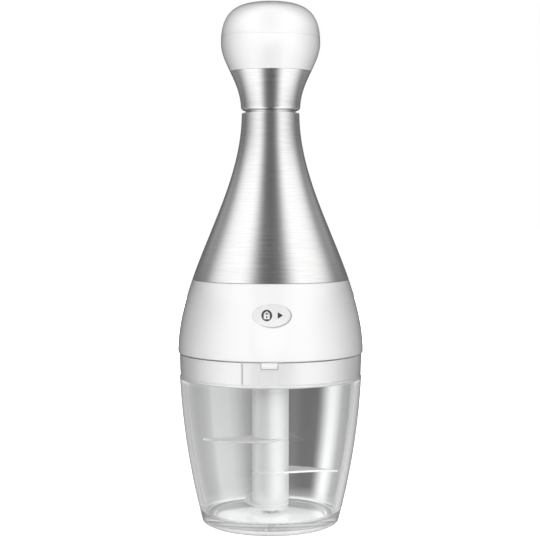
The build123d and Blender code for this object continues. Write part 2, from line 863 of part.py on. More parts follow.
hub_top = clip_top - clip_thickness - running_gap
with BuildPart() as spindle:
    add(twisted_bar(spindle_profile.sketch, helix_bottom, helix_top))
    with BuildSketch(Plane.XY.offset(spindle_collar_bottom)):
        Circle(spindle_collar_radius)
    extrude(amount=spindle_collar_height)
    with BuildSketch(Plane.XY.offset(hub_top)):
        Circle(journal_radius)
    extrude(amount=spindle_collar_bottom - hub_top)
    with BuildSketch(Plane.XY.offset(spindle_foot)):
        RectangleRounded(spindle_square, spindle_square, spindle_square / 12)
    extrude(amount=hub_top - spindle_foot)
    with BuildSketch(Plane.XY.offset(clip_top - clip_thickness)):
        Circle(2 * journal_radius)
        Circle(journal_radius - clip_groove, mode=Mode.SUBTRACT)
    extrude(amount=clip_thickness, mode=Mode.SUBTRACT)
save(spindle, "spindle")

with BuildPart() as lock_clip:
    with BuildSketch(Plane.XY.offset(clip_top - clip_thickness)):
        Circle(journal_radius + clip_reach)
        Circle(journal_radius - clip_groove + seat_gap, mode=Mode.SUBTRACT)
        with Locations((journal_radius, 0)):
            Rectangle(2 * journal_radius, journal_radius, mode=Mode.SUBTRACT)
    extrude(amount=clip_thickness)
save(lock_clip, "lock_clip")

with BuildPart() as drive_nut:
    with BuildSketch(Plane.XY.offset(nut_bottom)):
        Circle(nut_radius)
        with PolarLocations(guide_bore, 2):
            Rectangle(2 * (key_depth - key_gap), key_width - key_gap)
    extrude(amount=nut_height)
    with BuildSketch(Plane.XY.offset(tube_bottom)):
        Circle(plunger_radius - plunger_wall - seat_gap)
    extrude(amount=nut_spigot)
    bore_bottom = nut_bottom - nut_height
    add(twisted_bar(nut_profile.sketch, bore_bottom, tube_bottom + 2 * nut_spigot), mode=Mode.SUBTRACT)
save(drive_nut, "drive_nut")

with BuildPart() as plunger_tube:
    with BuildSketch(Plane.XY.offset(tube_bottom)):
        Circle(plunger_radius)
        Circle(plunger_radius - plunger_wall, mode=Mode.SUBTRACT)
    extrude(amount=tube_top - tube_bottom)
save(plunger_tube, "plunger_tube")

with BuildPart() as tube_plug:
    with BuildSketch(Plane.XY.offset(tube_top - plug_length)):
        Circle(plunger_radius - plunger_wall - seat_gap)
        Circle(knob_screw_radius, mode=Mode.SUBTRACT)
    extrude(amount=plug_length)
save(tube_plug, "tube_plug")

# ---- One-way clutch ----------------------------------------------------------------------------
with BuildPart() as ratchet_cup:
    with BuildSketch(Plane.XY.offset(cup_bottom)):
        Circle(cup_radius)
    extrude(amount=cup_height)
    pitch = radians(360 / tooth_count)
    saw = []
    for tooth in range(tooth_count):
        saw.append((cup_tip_radius * cos(tooth * pitch), cup_tip_radius * sin(tooth * pitch)))
        far = (tooth + 1) * pitch
        saw.append((cup_root_radius * cos(far), cup_root_radius * sin(far)))
    with BuildSketch(Plane.XY.offset(cup_floor_top)):
        with BuildLine():
            Polyline(*saw, close=True)
        make_face()
    extrude(amount=cup_height, mode=Mode.SUBTRACT)
    with BuildSketch(Plane.XY.offset(lid_boss_bottom)):
        Circle(shank_radius)
    extrude(amount=cup_bottom - lid_boss_bottom)
    with BuildSketch(Plane.XY.offset(column_top - dog_length)):
        RegularPolygon(hex_flats / 2, 6, major_radius=False)
    extrude(amount=lid_boss_bottom - column_top + dog_length)
save(ratchet_cup, "ratchet_cup")

pawl_tip = cup_root_radius - pawl_gap - pawl_arm_width / 2
pawl_root = pawl_hub_radius - pawl_arm_width / 2
with BuildSketch() as pawl_arm:
    with BuildLine():
        Bezier(
            polar_point(pawl_tip, -2),
            polar_point(pawl_tip * 0.83, -20),
            polar_point(pawl_tip * 0.78, -70),
            polar_point(pawl_root, -100),
        )
    trace(line_width=pawl_arm_width)

with BuildPart() as pawl_spider:
    with BuildSketch(Plane.XY.offset(pawl_bottom)):
        with PolarLocations(0, pawl_count):
            add(pawl_arm.sketch)
    extrude(amount=pawl_height)
    with BuildSketch(Plane.XY.offset(pawl_bottom)):
        Circle(pawl_hub_radius)
    extrude(amount=hub_top - pawl_bottom)
    with BuildSketch(Plane.XY.offset(pawl_bottom)):
        Rectangle(spindle_square + 2 * seat_gap, spindle_square + 2 * seat_gap)
    extrude(amount=hub_top - pawl_bottom, mode=Mode.SUBTRACT)
save(pawl_spider, "pawl_spider")

# ---- Blade column ------------------------------------------------------------------------------
def sleeve_section(radius):
    """Adds a round sleeve's section with the hexagonal socket to the open sketch."""
    Circle(radius)
    RegularPolygon(hex_flats / 2 + hex_gap, 6, major_radius=False, mode=Mode.SUBTRACT)


def cutting_edge(reach, fullness, grind):
    """Draws a blade's cutting edge from hub to tip, or with grind the inner line of its ground face."""
    root = polar_point(blade_hub_radius, blade_root_angle)
    away = polar_point(fullness - grind, blade_root_angle - 90)
    tip = polar_point(reach, blade_back_angle if grind else blade_tip_angle)
    bow = (tip[0] - reach * edge_pull[0], tip[1] + reach * edge_pull[1] - grind)
    return Bezier(root, (root[0] + away[0], root[1] + away[1]), bow, tip)


def blade_outline(reach, fullness, angle):
    """Adds a sickle seen from above: convex cutting edge, hollow back, hub with hexagon."""
    hub = blade_hub_radius
    with BuildLine() as outline:
        edge = cutting_edge(reach, fullness, 0)
        back_tip = polar_point(reach, blade_back_angle)
        heel = polar_point(hub, blade_heel_angle)
        Line(edge @ 1, back_tip)
        Bezier(
            back_tip,
            (reach * back_pull[0], hub * back_lift[0]),
            (reach * back_pull[1], hub * back_lift[1]),
            heel,
        )
        Polyline(heel, (0, 0), edge @ 0)
    plate = make_face(outline.edges(), mode=Mode.PRIVATE)
    add(Rot(0, 0, angle) * plate)
    Circle(hub)


def space_before(reach, fullness, grind, level):
    """Returns the sketch, at a level, of everything in front of the cutting edge or its ground face."""
    with BuildSketch(Plane.XY.offset(level), mode=Mode.PRIVATE) as space:
        with BuildLine():
            edge = cutting_edge(reach, fullness, grind)
            root, tip = edge @ 0, edge @ 1
            far = 2 * reach
            Polyline(tip, (far, tip.Y), (far, far), (-far, far), (-far, root.Y), root)
        make_face()
    return space.sketch


def ground_away(reach, fullness, angle, arm_top, crank):
    """Returns what grinding takes off a blade's upper side along its cutting edge."""
    edge_level = arm_top - blade_thickness + blade_edge
    low = space_before(reach, fullness, 0, edge_level)
    high = space_before(reach, fullness, blade_grind, arm_top)
    slope = loft([low.face(), high.face()], ruled=True, mode=Mode.PRIVATE)
    above = extrude(high, amount=crank + blade_edge, mode=Mode.PRIVATE)
    return Rot(0, 0, angle) * (slope + above)


def cranked_strip(reach, middle, crank):
    """Adds a blade's cross-section along its length: flat hub, bend, lowered arm."""
    half = blade_thickness / 2
    with BuildLine() as outline:
        Polyline(
            (0, middle - half),
            (crank_start, middle - half),
            (crank_end, middle - half - crank),
            (2 * reach, middle - half - crank),
            (2 * reach, middle + half - crank),
            (crank_end, middle + half - crank),
            (crank_start, middle + half),
            (0, middle + half),
            close=True,
        )
    make_face(outline.edges())


with BuildPart() as column_foot:
    with BuildSketch(Plane.XY.offset(column_bottom)):
        Circle(column_radius)
        Circle(core_end_radius + seat_gap, mode=Mode.SUBTRACT)
    extrude(amount=column_foot_height)
    chamfer(column_foot.edges().group_by(Axis.Z)[0].sort_by(SortBy.RADIUS)[-1], column_foot_height / 3)
save(column_foot, "column_foot")

core_flats_top = column_bottom + column_foot_height
with BuildPart() as column_core:
    with BuildSketch(Plane.XY.offset(core_bottom)):
        Circle(core_end_radius)
    extrude(amount=core_flats_top - core_bottom)
    with BuildSketch(Plane.XY.offset(core_flats_top)):
        RegularPolygon(hex_flats / 2, 6, major_radius=False)
    extrude(amount=core_top - core_flats_top)
    with BuildSketch(Plane.XY.offset(core_bottom)):
        Circle(cup_bush_radius + seat_gap)
    extrude(amount=pin_top + 2 * cup_bush_cap - core_bottom, mode=Mode.SUBTRACT)
save(column_core, "column_core")

with BuildPart() as pivot_bush:
    with BuildSketch(Plane.XZ):
        band(0, cup_bush_radius, core_bottom, pin_top + running_gap + cup_bush_cap)
        band(0, pin_radius + running_gap / 2, 0, pin_top + running_gap, mode=Mode.SUBTRACT)
    revolve(axis=Axis.Z)
save(pivot_bush, "pivot_bush")

with BuildPart() as lower_sleeve:
    with BuildSketch(Plane.XY.offset(lower_blade_middle + blade_thickness / 2)):
        sleeve_section(column_radius)
    extrude(amount=lower_sleeve_length)
    chamfer(lower_sleeve.edges().filter_by(GeomType.CIRCLE), sleeve_chamfer)
save(lower_sleeve, "lower_sleeve")

with BuildPart() as middle_sleeve:
    with BuildSketch(Plane.XY.offset(middle_blade_middle + blade_thickness / 2)):
        sleeve_section(column_radius)
    extrude(amount=middle_sleeve_length)
    chamfer(middle_sleeve.edges().filter_by(GeomType.CIRCLE), sleeve_chamfer)
save(middle_sleeve, "middle_sleeve")

upper_sleeve_bottom = upper_blade_middle + blade_thickness / 2
with BuildPart() as upper_sleeve:
    with BuildSketch(Plane.XY.offset(upper_sleeve_bottom)):
        sleeve_section(column_radius)
    extrude(amount=column_top - upper_sleeve_bottom)
    chamfer(upper_sleeve.edges().filter_by(GeomType.CIRCLE), sleeve_chamfer)
save(upper_sleeve, "upper_sleeve")

# ---- Blades ------------------------------------------------------------------------------------
blade_reach = bowl_inner_radius(middle_blade_middle) - blade_tip_gap
lower_blade_reach = bowl_inner_radius(lower_blade_middle) - lower_blade_tip_gap

with BuildPart() as upper_blade:
    with BuildSketch(Plane.XZ):
        cranked_strip(blade_reach, upper_blade_middle, upper_blade_crank)
    revolve(axis=Axis.Z)
    with BuildSketch(Plane.XY.offset(upper_blade_middle - column_radius)):
        blade_outline(blade_reach, blade_fullness, upper_blade_angle)
    extrude(amount=2 * column_radius, mode=Mode.INTERSECT)
    arm_top = upper_blade_middle + blade_thickness / 2 - upper_blade_crank
    add(
        ground_away(blade_reach, blade_fullness, upper_blade_angle, arm_top, upper_blade_crank),
        mode=Mode.SUBTRACT,
    )
    with BuildSketch(Plane.XY.offset(upper_blade_middle - blade_thickness)):
        RegularPolygon(hex_flats / 2 + hex_gap, 6, major_radius=False)
    extrude(amount=2 * blade_thickness, mode=Mode.SUBTRACT)
save(upper_blade, "upper_blade")

with BuildPart() as middle_blade:
    with BuildSketch(Plane.XZ):
        cranked_strip(blade_reach, middle_blade_middle, middle_blade_crank)
    revolve(axis=Axis.Z)
    with BuildSketch(Plane.XY.offset(middle_blade_middle - column_radius)):
        blade_outline(blade_reach, blade_fullness, middle_blade_angle)
    extrude(amount=2 * column_radius, mode=Mode.INTERSECT)
    arm_top = middle_blade_middle + blade_thickness / 2 - middle_blade_crank
    add(
        ground_away(blade_reach, blade_fullness, middle_blade_angle, arm_top, middle_blade_crank),
        mode=Mode.SUBTRACT,
    )
    with BuildSketch(Plane.XY.offset(middle_blade_middle - blade_thickness)):
        RegularPolygon(hex_flats / 2 + hex_gap, 6, major_radius=False)
    extrude(amount=2 * blade_thickness, mode=Mode.SUBTRACT)
save(middle_blade, "middle_blade")

with BuildPart() as lower_blade:
    with BuildSketch(Plane.XY.offset(lower_blade_middle - blade_thickness / 2)):
        blade_outline(lower_blade_reach, lower_blade_fullness, lower_blade_angle)
        RegularPolygon(hex_flats / 2 + hex_gap, 6, major_radius=False, mode=Mode.SUBTRACT)
    extrude(amount=blade_thickness)
    arm_top = lower_blade_middle + blade_thickness / 2
    add(
        ground_away(lower_blade_reach, lower_blade_fullness, lower_blade_angle, arm_top, 0),
        mode=Mode.SUBTRACT,
    )
save(lower_blade, "lower_blade")

# ---- Knob --------------------------------------------------------------------------------------
with BuildPart() as knob_collar:
    with BuildSketch(Plane.XZ) as section:
        knob_wall_section(0, knob_collar_wall, knob_bottom, knob_collar_top)
        band(
            stem_radius - knob_collar_lip,
            stem_radius - knob_collar_wall / 2,
            knob_bottom,
            knob_bottom + knob_collar_wall,
        )
        corner = section.vertices().group_by(Axis.Y)[0].sort_by(Axis.X)[-1]
        fillet(corner, knob_collar_fillet)
    revolve(axis=Axis.Z)
save(knob_collar, "knob_collar")

tube_seat = plunger_radius + seat_gap
with BuildPart() as knob_body:
    with BuildSketch(Plane.XZ):
        knob_wall_section(
            knob_collar_wall + seat_gap,
            knob_wall,
            knob_bottom + knob_collar_wall + seat_gap,
            knob_seam,
        )
        knob_wall_section(0, knob_wall, knob_collar_top + seam_gap, knob_seam)
        band(tube_seat, tube_seat + buffer_width, stem_bottom, web_top)
        knob_fill_section(knob_wall / 2, tube_top, web_top)
        band(0, knob_screw_radius + seat_gap, 0, knob_top, mode=Mode.SUBTRACT)
    revolve(axis=Axis.Z)
save(knob_body, "knob_body")

with BuildPart() as knob_cap:
    with BuildSketch(Plane.XZ):
        knob_wall_section(0, knob_wall, knob_seam + seam_gap, knob_top)
        knob_wall_section(
            knob_wall + seat_gap,
            knob_wall + cap_skirt_wall,
            knob_seam - cap_skirt_height,
            knob_seam + cap_skirt_wall,
        )
        knob_wall_section(
            knob_wall / 2,
            knob_wall + cap_skirt_wall,
            knob_seam + seam_gap,
            knob_seam + cap_skirt_wall,
        )
    revolve(axis=Axis.Z)
save(knob_cap, "knob_cap")

with BuildPart() as knob_screw:
    with BuildSketch(Plane.XY.offset(web_top)):
        Circle(knob_screw_head_radius)
    extrude(amount=knob_screw_head_height)
    fillet(knob_screw.edges().group_by(Axis.Z)[-1], knob_screw_head_height / 4)
    with BuildSketch(Plane.XY.offset(web_top)):
        Circle(knob_screw_radius - seat_gap)
    extrude(amount=-knob_screw_length)
    with BuildSketch(Plane.XY.offset(web_top + knob_screw_head_height)):
        RegularPolygon(knob_screw_socket_radius, 6, major_radius=False)
    extrude(amount=-knob_screw_socket_depth, mode=Mode.SUBTRACT)
save(knob_screw, "knob_screw")

with BuildPart() as knob_buffer:
    with BuildSketch(Plane.XZ) as section:
        band(tube_seat, tube_seat + buffer_width, buffer_bottom, stem_bottom)
        fillet(section.vertices().group_by(Axis.Y)[0], buffer_height / 4)
    revolve(axis=Axis.Z)
save(knob_buffer, "knob_buffer")
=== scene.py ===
import json
import math

import bmesh
import bpy
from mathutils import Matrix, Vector


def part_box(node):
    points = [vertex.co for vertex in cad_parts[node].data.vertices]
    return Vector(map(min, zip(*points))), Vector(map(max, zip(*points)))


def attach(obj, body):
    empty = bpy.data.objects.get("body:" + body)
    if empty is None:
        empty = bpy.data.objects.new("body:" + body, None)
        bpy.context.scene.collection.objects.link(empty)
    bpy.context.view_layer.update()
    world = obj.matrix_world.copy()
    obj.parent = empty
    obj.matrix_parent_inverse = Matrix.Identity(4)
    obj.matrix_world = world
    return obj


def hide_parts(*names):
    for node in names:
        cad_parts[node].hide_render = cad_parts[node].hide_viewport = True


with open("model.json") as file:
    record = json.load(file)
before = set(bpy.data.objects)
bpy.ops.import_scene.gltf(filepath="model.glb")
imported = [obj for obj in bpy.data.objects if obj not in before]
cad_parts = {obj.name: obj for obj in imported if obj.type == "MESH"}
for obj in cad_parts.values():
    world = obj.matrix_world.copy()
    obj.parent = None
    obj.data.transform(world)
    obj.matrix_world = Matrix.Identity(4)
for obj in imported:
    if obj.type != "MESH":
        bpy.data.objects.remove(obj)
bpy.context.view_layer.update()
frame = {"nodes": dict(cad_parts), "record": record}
mm = 0.001
quarterTurn = math.pi / 2


# small helpers for outlines and meshes, in mm

def heightsOf(name):
    # lowest and highest point of a CAD node
    low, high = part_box(name)
    return low[2] / mm, high[2] / mm


def bezierPoints(a, b, c, d, count):
    points = []
    for i in range(count + 1):
        t = i / count
        s = 1 - t
        w = (s * s * s, 3 * s * s * t, 3 * s * t * t, t * t * t)
        points.append(tuple(w[0] * a[k] + w[1] * b[k] + w[2] * c[k] + w[3] * d[k] for k in range(2)))
    return points


def arcThrough(a, b, c, count):
    ax, ay, bx, by, cx, cy = *a, *b, *c
    d = 2 * (ax * (by - cy) + bx * (cy - ay) + cx * (ay - by))
    aa, bb, cc = ax * ax + ay * ay, bx * bx + by * by, cx * cx + cy * cy
    ux = (aa * (by - cy) + bb * (cy - ay) + cc * (ay - by)) / d
    uy = (aa * (cx - bx) + bb * (ax - cx) + cc * (bx - ax)) / d
    radius = math.hypot(ax - ux, ay - uy)
    start = math.atan2(ay - uy, ax - ux)
    turn = math.atan2(cy - uy, cx - ux) - start
    turn = (turn + math.pi) % (2 * math.pi) - math.pi
    return [(ux + radius * math.cos(start + turn * i / count), uy + radius * math.sin(start + turn * i / count))
            for i in range(count + 1)]


def radiusAt(points, z):
    # radius of a rising curve at a height, or that of its end where the height is past it
    for (ra, za), (rb, zb) in zip(points, points[1:]):
        if za <= z <= zb:
            return ra + (rb - ra) * (z - za) / (zb - za)
    return points[0 if z < points[0][1] else -1][0]


def between(points, low, high, gap=0.02):
    # part of a rising curve between two heights, with exact ends and no point nearer to them than the gap
    inside = [p for p in points if low + gap < p[1] < high - gap]
    return [(radiusAt(points, low), low)] + inside + [(radiusAt(points, high), high)]


def inset(points, amount):
    return [(r - amount, z) for r, z in points]


def roundFoot(r, z, size, steps):
    # quarter round from (r - size, z) to just below (r, z + size)
    turns = [quarterTurn * k / steps for k in range(steps)]
    return [(r - size * (1 - math.sin(t)), z + size * (1 - math.cos(t))) for t in turns]


def roundTop(r, z, size, steps):
    # quarter round from just above (r, z - size) to (r - size, z)
    turns = [quarterTurn * k / steps for k in range(1, steps + 1)]
    return [(r - size * (1 - math.cos(t)), z - size * (1 - math.sin(t))) for t in turns]


def rounded(corners, steps=6):
    # closed outline from (r, z, fillet) corners
    out = []
    for i, (r, z, fillet) in enumerate(corners):
        if fillet <= 0:
            out.append((r, z))
            continue
        corner = Vector((r, z))
        toPrev = Vector(corners[i - 1][:2]) - corner
        toNext = Vector(corners[(i + 1) % len(corners)][:2]) - corner
        half = toPrev.angle(toNext) / 2
        reach = min(fillet / math.tan(half), toPrev.length * 0.49, toNext.length * 0.49)
        a = corner + toPrev.normalized() * reach
        b = corner + toNext.normalized() * reach
        for k in range(steps + 1):
            t = k / steps
            out.append(tuple(a * (1 - t) ** 2 + corner * 2 * t * (1 - t) + b * t * t))
    return out


def ovalPoints(x, z, halfWidth, halfHeight, count=48):
    turns = [2 * math.pi * i / count for i in range(count)]
    return [(x + halfWidth * math.cos(a), z + halfHeight * math.sin(a)) for a in turns]


def stepped(start, end, step):
    values = []
    while start < end:
        values.append(start)
        start += step
    return values


def gridFaces(rows, count, closeRows=True, closeCount=True):
    # quads over rows of count points each, which may close on themselves either way
    faces = []
    for j in range(rows if closeRows else rows - 1):
        a, b = j * count, (j + 1) % rows * count
        for i in range(count if closeCount else count - 1):
            n = (i + 1) % count
            faces.append((a + i, a + n, b + n, b + i))
    return faces


def addObject(name, data):
    obj = bpy.data.objects.new(name, data)
    bpy.context.scene.collection.objects.link(obj)
    return obj


def meshFrom(name, verts, faces, sharp=32):
    mesh = bpy.data.meshes.new(name)
    mesh.from_pydata([(x * mm, y * mm, z * mm) for x, y, z in verts], [], faces)
    bm = bmesh.new()
    bm.from_mesh(mesh)
    bmesh.ops.remove_doubles(bm, verts=bm.verts, dist=1e-7)
    bmesh.ops.recalc_face_normals(bm, faces=bm.faces)
    bm.to_mesh(mesh)
    bm.free()
    mesh.validate()
    for face in mesh.polygons:
        face.use_smooth = True
    mesh.set_sharp_from_angle(angle=math.radians(sharp))
    return addObject(name, mesh)


def lathe(name, outline, turns, sharp=32):
    # closed outline of (r, z), turned round the upright axis
    verts, faces, rows = [], [], []
    for r, z in outline:
        count = turns if r > 1e-4 else 1  # one point where the outline meets the axis
        rows.append(range(len(verts), len(verts) + count))
        verts += [(x, y, z) for x, y in ovalPoints(0, 0, r, r, turns)[:count]]
    for low, high in zip(rows, rows[1:] + rows[:1]):
        if len(low) == len(high) == 1:
            continue
        for i in range(turns):
            j = (i + 1) % turns
            if len(low) == 1:
                faces.append((low[0], high[j], high[i]))
            elif len(high) == 1:
                faces.append((low[i], low[j], high[0]))
            else:
                faces.append((low[i], low[j], high[j], high[i]))
    return meshFrom(name, verts, faces, sharp)


def place(obj, body, finishName, slot, *nodes):
    obj.data.materials.clear()
    obj.data.materials.append(look[finishName])
    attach(obj, body)
    if nodes:
        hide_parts(*nodes)
    return obj


# materials

def fill(tree, sockets, inputs):
    # inputs by name or number: a socket is linked, anything else is set as a plain value
    for key, value in inputs.items():
        if isinstance(value, bpy.types.NodeSocket):
            tree.links.new(value, sockets[key])
        else:
            sockets[key].default_value = value


def addNode(tree, kind, inputs, **settings):
    node = tree.nodes.new("ShaderNode" + kind)
    for key, value in settings.items():
        setattr(node, key, value)
    fill(tree, node.inputs, inputs)
    return node


def newMaterial(name):
    mat = bpy.data.materials.new(name)
    mat.use_nodes = True
    return mat, mat.node_tree, mat.node_tree.nodes["Principled BSDF"].inputs


def objectCoords(tree):
    return addNode(tree, "TexCoord", {}).outputs["Object"]


def objectAxes(tree):
    return addNode(tree, "SeparateXYZ", {0: objectCoords(tree)}).outputs


def mathNode(tree, operation, *values):
    return addNode(tree, "Math", dict(enumerate(values)), operation=operation).outputs[0]


def noiseAlong(tree, scale, detail, stretch):
    # noise in object space, stretched per axis
    mapping = addNode(tree, "Mapping", {"Vector": objectCoords(tree), "Scale": stretch})
    return addNode(tree, "TexNoise", {"Vector": mapping.outputs[0], "Scale": scale, "Detail": detail}).outputs["Fac"]


def rampBetween(tree, source, low, high, start=0.3, end=0.7):
    return addNode(tree, "MapRange", {"Value": source, "From Min": start, "From Max": end, "To Min": low,
                                      "To Max": high}).outputs["Result"]


def mixColors(tree, share, first, second):
    return addNode(tree, "Mix", {0: share, 6: first, 7: second}, data_type="RGBA").outputs[2]


# scales of the marks in the finishes, per metre and axis, and depths of their relief in metres
grain = {"band": (6, 6, 1500), "bandGain": (0.9, 1.1), "lineContrast": (0.36, 0.64), "flow": 35,
         "flowStretch": (1, 1, 0.6), "skin": 2600, "waveStretch": (1, 1, 0.35), "steelDepth": 0.00002,
         "skinDepth": 0.00003, "waveDepth": 0.00005}


def surfaceFrom(tree, values, tintBy, roughBy, reliefBy, depth):
    # colour, roughness and fine relief that every finish has
    return {"Base Color": mixColors(tree, tintBy, (*values["dark"], 1), (*values["light"], 1)),
            "Roughness": roughBy,
            "Normal": addNode(tree, "Bump", {"Height": reliefBy, "Strength": values["bump"],
                                             "Distance": depth}).outputs["Normal"]}


def brushedSteel(name, values):
    # fine lines run round the axis, so highlights stretch upwards
    mat, tree, skin = newMaterial(name)
    lines = noiseAlong(tree, 1.0, 3.0, (values["dashesPerMetre"],) * 2 + (values["linesPerMetre"],))
    band = rampBetween(tree, noiseAlong(tree, 1.0, 2.0, grain["band"]), *grain["bandGain"])
    rough = mathNode(tree, "MULTIPLY", rampBetween(tree, lines, *values["roughness"]), band)
    tint = rampBetween(tree, lines, 0, 1, *grain["lineContrast"])
    tangent = addNode(tree, "Tangent", {}, direction_type="RADIAL", axis="Z").outputs["Tangent"]
    fill(tree, skin, surfaceFrom(tree, values, tint, rough, lines, grain["steelDepth"]))
    fill(tree, skin, {"Metallic": 1, "Anisotropic": values["anisotropic"], "Anisotropic Rotation": 0.25,
                      "Tangent": tangent})
    return mat


def mouldedPlastic(name, values):
    # smooth moulded skin with a hint of flow marks and fine grain
    mat, tree, skin = newMaterial(name)
    flow = noiseAlong(tree, grain["flow"], 3.0, grain["flowStretch"])
    fine = noiseAlong(tree, grain["skin"], 2.0, (1, 1, 1))
    rough = rampBetween(tree, flow, *values["roughness"])
    fill(tree, skin, surfaceFrom(tree, values, flow, rough, fine, grain["skinDepth"]))
    fill(tree, skin, {"Specular IOR Level": values.get("specular", 0.5), "Coat Weight": values.get("coat", 0),
                      "Coat Roughness": 0.05, "Coat IOR": values.get("coatIor", 1.5),
                      "Metallic": values.get("pearl", 0)})
    return mat


def clearPlastic(name, values):
    # moulding haze gathers in the thick floor and fades up the wall
    mat, tree, skin = newMaterial(name)
    wave = noiseAlong(tree, values["waveScale"], 2.0, grain["waveStretch"])
    reach = (z * mm for z in values["hazeReach"])
    clearness = rampBetween(tree, objectAxes(tree)["Z"], 1 - values["haze"], 1, *reach)
    rough = rampBetween(tree, wave, *values["roughness"])
    fill(tree, skin, surfaceFrom(tree, values, wave, rough, wave, grain["waveDepth"]))
    fill(tree, skin, {"IOR": values["ior"], "Transmission Weight": clearness})
    return mat


def plainMetal(name, values):
    mat, tree, skin = newMaterial(name)
    marks = noiseAlong(tree, values["scale"], 3.0, values["stretch"])
    rough = rampBetween(tree, marks, *values["roughness"])
    fill(tree, skin, surfaceFrom(tree, values, marks, rough, marks, grain["steelDepth"]))
    fill(tree, skin, {"Metallic": values["metallic"]})
    return mat


finish = {
    "coneSteel": {"maker": brushedSteel, "dark": (0.765, 0.76, 0.758), "light": (0.855, 0.852, 0.85), "bump": 0.08,
                  "roughness": (0.19, 0.25), "linesPerMetre": 4200, "dashesPerMetre": 75, "anisotropic": 0.85},
    "tubeSteel": {"maker": brushedSteel, "dark": (0.7, 0.7, 0.7), "light": (0.82, 0.82, 0.82), "bump": 0.04,
                  "roughness": (0.12, 0.2), "linesPerMetre": 4000, "dashesPerMetre": 60, "anisotropic": 0.4},
    "whiteShell": {"maker": mouldedPlastic, "dark": (0.87, 0.87, 0.87), "light": (0.9, 0.9, 0.895), "bump": 0.03,
                   "roughness": (0.2, 0.26), "coat": 1.0, "coatIor": 1.75},
    "collarWhite": {"maker": mouldedPlastic, "dark": (0.82, 0.82, 0.82), "light": (0.85, 0.85, 0.848), "bump": 0.03,
                    "roughness": (0.2, 0.26), "coat": 1.0, "coatIor": 2.1, "pearl": 0.12},
    "pearlColumn": {"maker": mouldedPlastic, "dark": (0.82, 0.82, 0.825), "light": (0.87, 0.87, 0.872), "bump": 0.03,
                    "roughness": (0.2, 0.26), "coat": 0.3, "pearl": 0.35},
    "innerPlastic": {"maker": mouldedPlastic, "dark": (0.72, 0.72, 0.69), "light": (0.8, 0.8, 0.77), "bump": 0.15,
                     "roughness": (0.4, 0.55)},
    "siliconeGrey": {"maker": mouldedPlastic, "dark": (0.2, 0.205, 0.21), "light": (0.26, 0.265, 0.27),
                     "bump": 0.25, "roughness": (0.55, 0.7), "specular": 0.35},
    "badgeFace": {"maker": mouldedPlastic, "dark": (0.73, 0.73, 0.735), "light": (0.77, 0.77, 0.775), "bump": 0.02,
                  "roughness": (0.25, 0.32), "coat": 0.3},
    "badgeInk": {"maker": mouldedPlastic, "dark": (0.03, 0.03, 0.032), "light": (0.05, 0.05, 0.052), "bump": 0.05,
                 "roughness": (0.4, 0.5)},
    # seamShade is painted shade: the dark grey of the strips laid in gaps and grooves where shadow falls
    "seamShade": {"maker": mouldedPlastic, "dark": (0.26, 0.26, 0.26), "light": (0.32, 0.32, 0.32), "bump": 0.05,
                  "roughness": (0.6, 0.7)},
    "bowlClear": {"maker": clearPlastic, "dark": (0.965, 0.97, 0.97), "light": (0.985, 0.988, 0.988), "bump": 0.03,
                  "roughness": (0.0, 0.02), "waveScale": 40, "ior": 1.49, "haze": 0.16, "hazeReach": (7.0, 12.0)},
    "ringClear": {"maker": clearPlastic, "dark": (0.93, 0.935, 0.935), "light": (0.97, 0.975, 0.975), "bump": 0.1,
                  "roughness": (0.12, 0.2), "waveScale": 200, "ior": 1.42, "haze": 0.25, "hazeReach": (7.0, 12.0)},
    "bladeSteel": {"maker": plainMetal, "dark": (0.89, 0.89, 0.895), "light": (0.95, 0.95, 0.955), "bump": 0.04,
                   "roughness": (0.3, 0.42), "scale": 1.0, "stretch": (500, 500, 2600), "metallic": 0.3},
    "plainSteel": {"maker": plainMetal, "dark": (0.55, 0.55, 0.56), "light": (0.66, 0.66, 0.67), "bump": 0.06,
                   "roughness": (0.22, 0.34), "scale": 900, "stretch": (1, 1, 1), "metallic": 1},
}
look = {name: values["maker"](name, values) for name, values in finish.items()}

# every CAD node that stays gets its finish from its record slot; the neck's dark bush is left steel, because its
# flange shows as a bright ring below the knob
slotFinish = {"clear_plastic": "bowlClear", "clear_rubber": "ringClear", "white_plastic": "whiteShell",
              "pearl_plastic": "pearlColumn", "inner_plastic": "innerPlastic", "dark_plastic": "tubeSteel",
              "grey_rubber": "siliconeGrey", "brushed_steel": "coneSteel", "polished_steel": "tubeSteel",
              "blade_steel": "bladeSteel", "steel": "plainSteel", "badge": "badgeFace"}
slotOf = {part["node"]: part["material_slot"] for part in frame["record"]["subparts"]}
for nodeName, obj in frame["nodes"].items():
    obj.data.materials.clear()
    obj.data.materials.append(look[slotFinish[slotOf[nodeName]]])
print("materials ready:", len(finish))


# head: white housing and steel neck on one skittle outline

skittle = {"bellyRadius": 48.9, "neckRadius": 15.2, "bottom": 90.8, "bellyHandle": 43.1, "neckHandle": 44.8,
           "seamRise": 0.8}
skittle["top"] = heightsOf("neck_shell")[1]
skittle["seam"] = heightsOf("neck_shell")[0] + skittle["seamRise"]
skittleLine = bezierPoints((skittle["bellyRadius"], skittle["bottom"]),
                           (skittle["bellyRadius"], skittle["bottom"] + skittle["bellyHandle"]),
                           (skittle["neckRadius"], skittle["top"] - skittle["neckHandle"]),
                           (skittle["neckRadius"], skittle["top"]), 160)


def skittleRadius(z):
    return radiusAt(skittleLine, z)


badge = {"x": 0.4, "z": 113.9, "halfWidth": 9.65, "halfHeight": 5.7, "rim": 0.16, "widen": 0.5, "widenAt": -38,
         "widenPower": 0.8, "grooveDepth": 0.5, "grooveFade": 0.15, "proud": 0.28, "dome": 0.2, "edgeShare": 0.06,
         "sink": 0.2, "rings": 26, "around": 96}


def badgeSpan(dx, dz):
    # 0 in the middle of the oval, 1 at its edge
    return math.hypot(dx / badge["halfWidth"], dz / badge["halfHeight"])


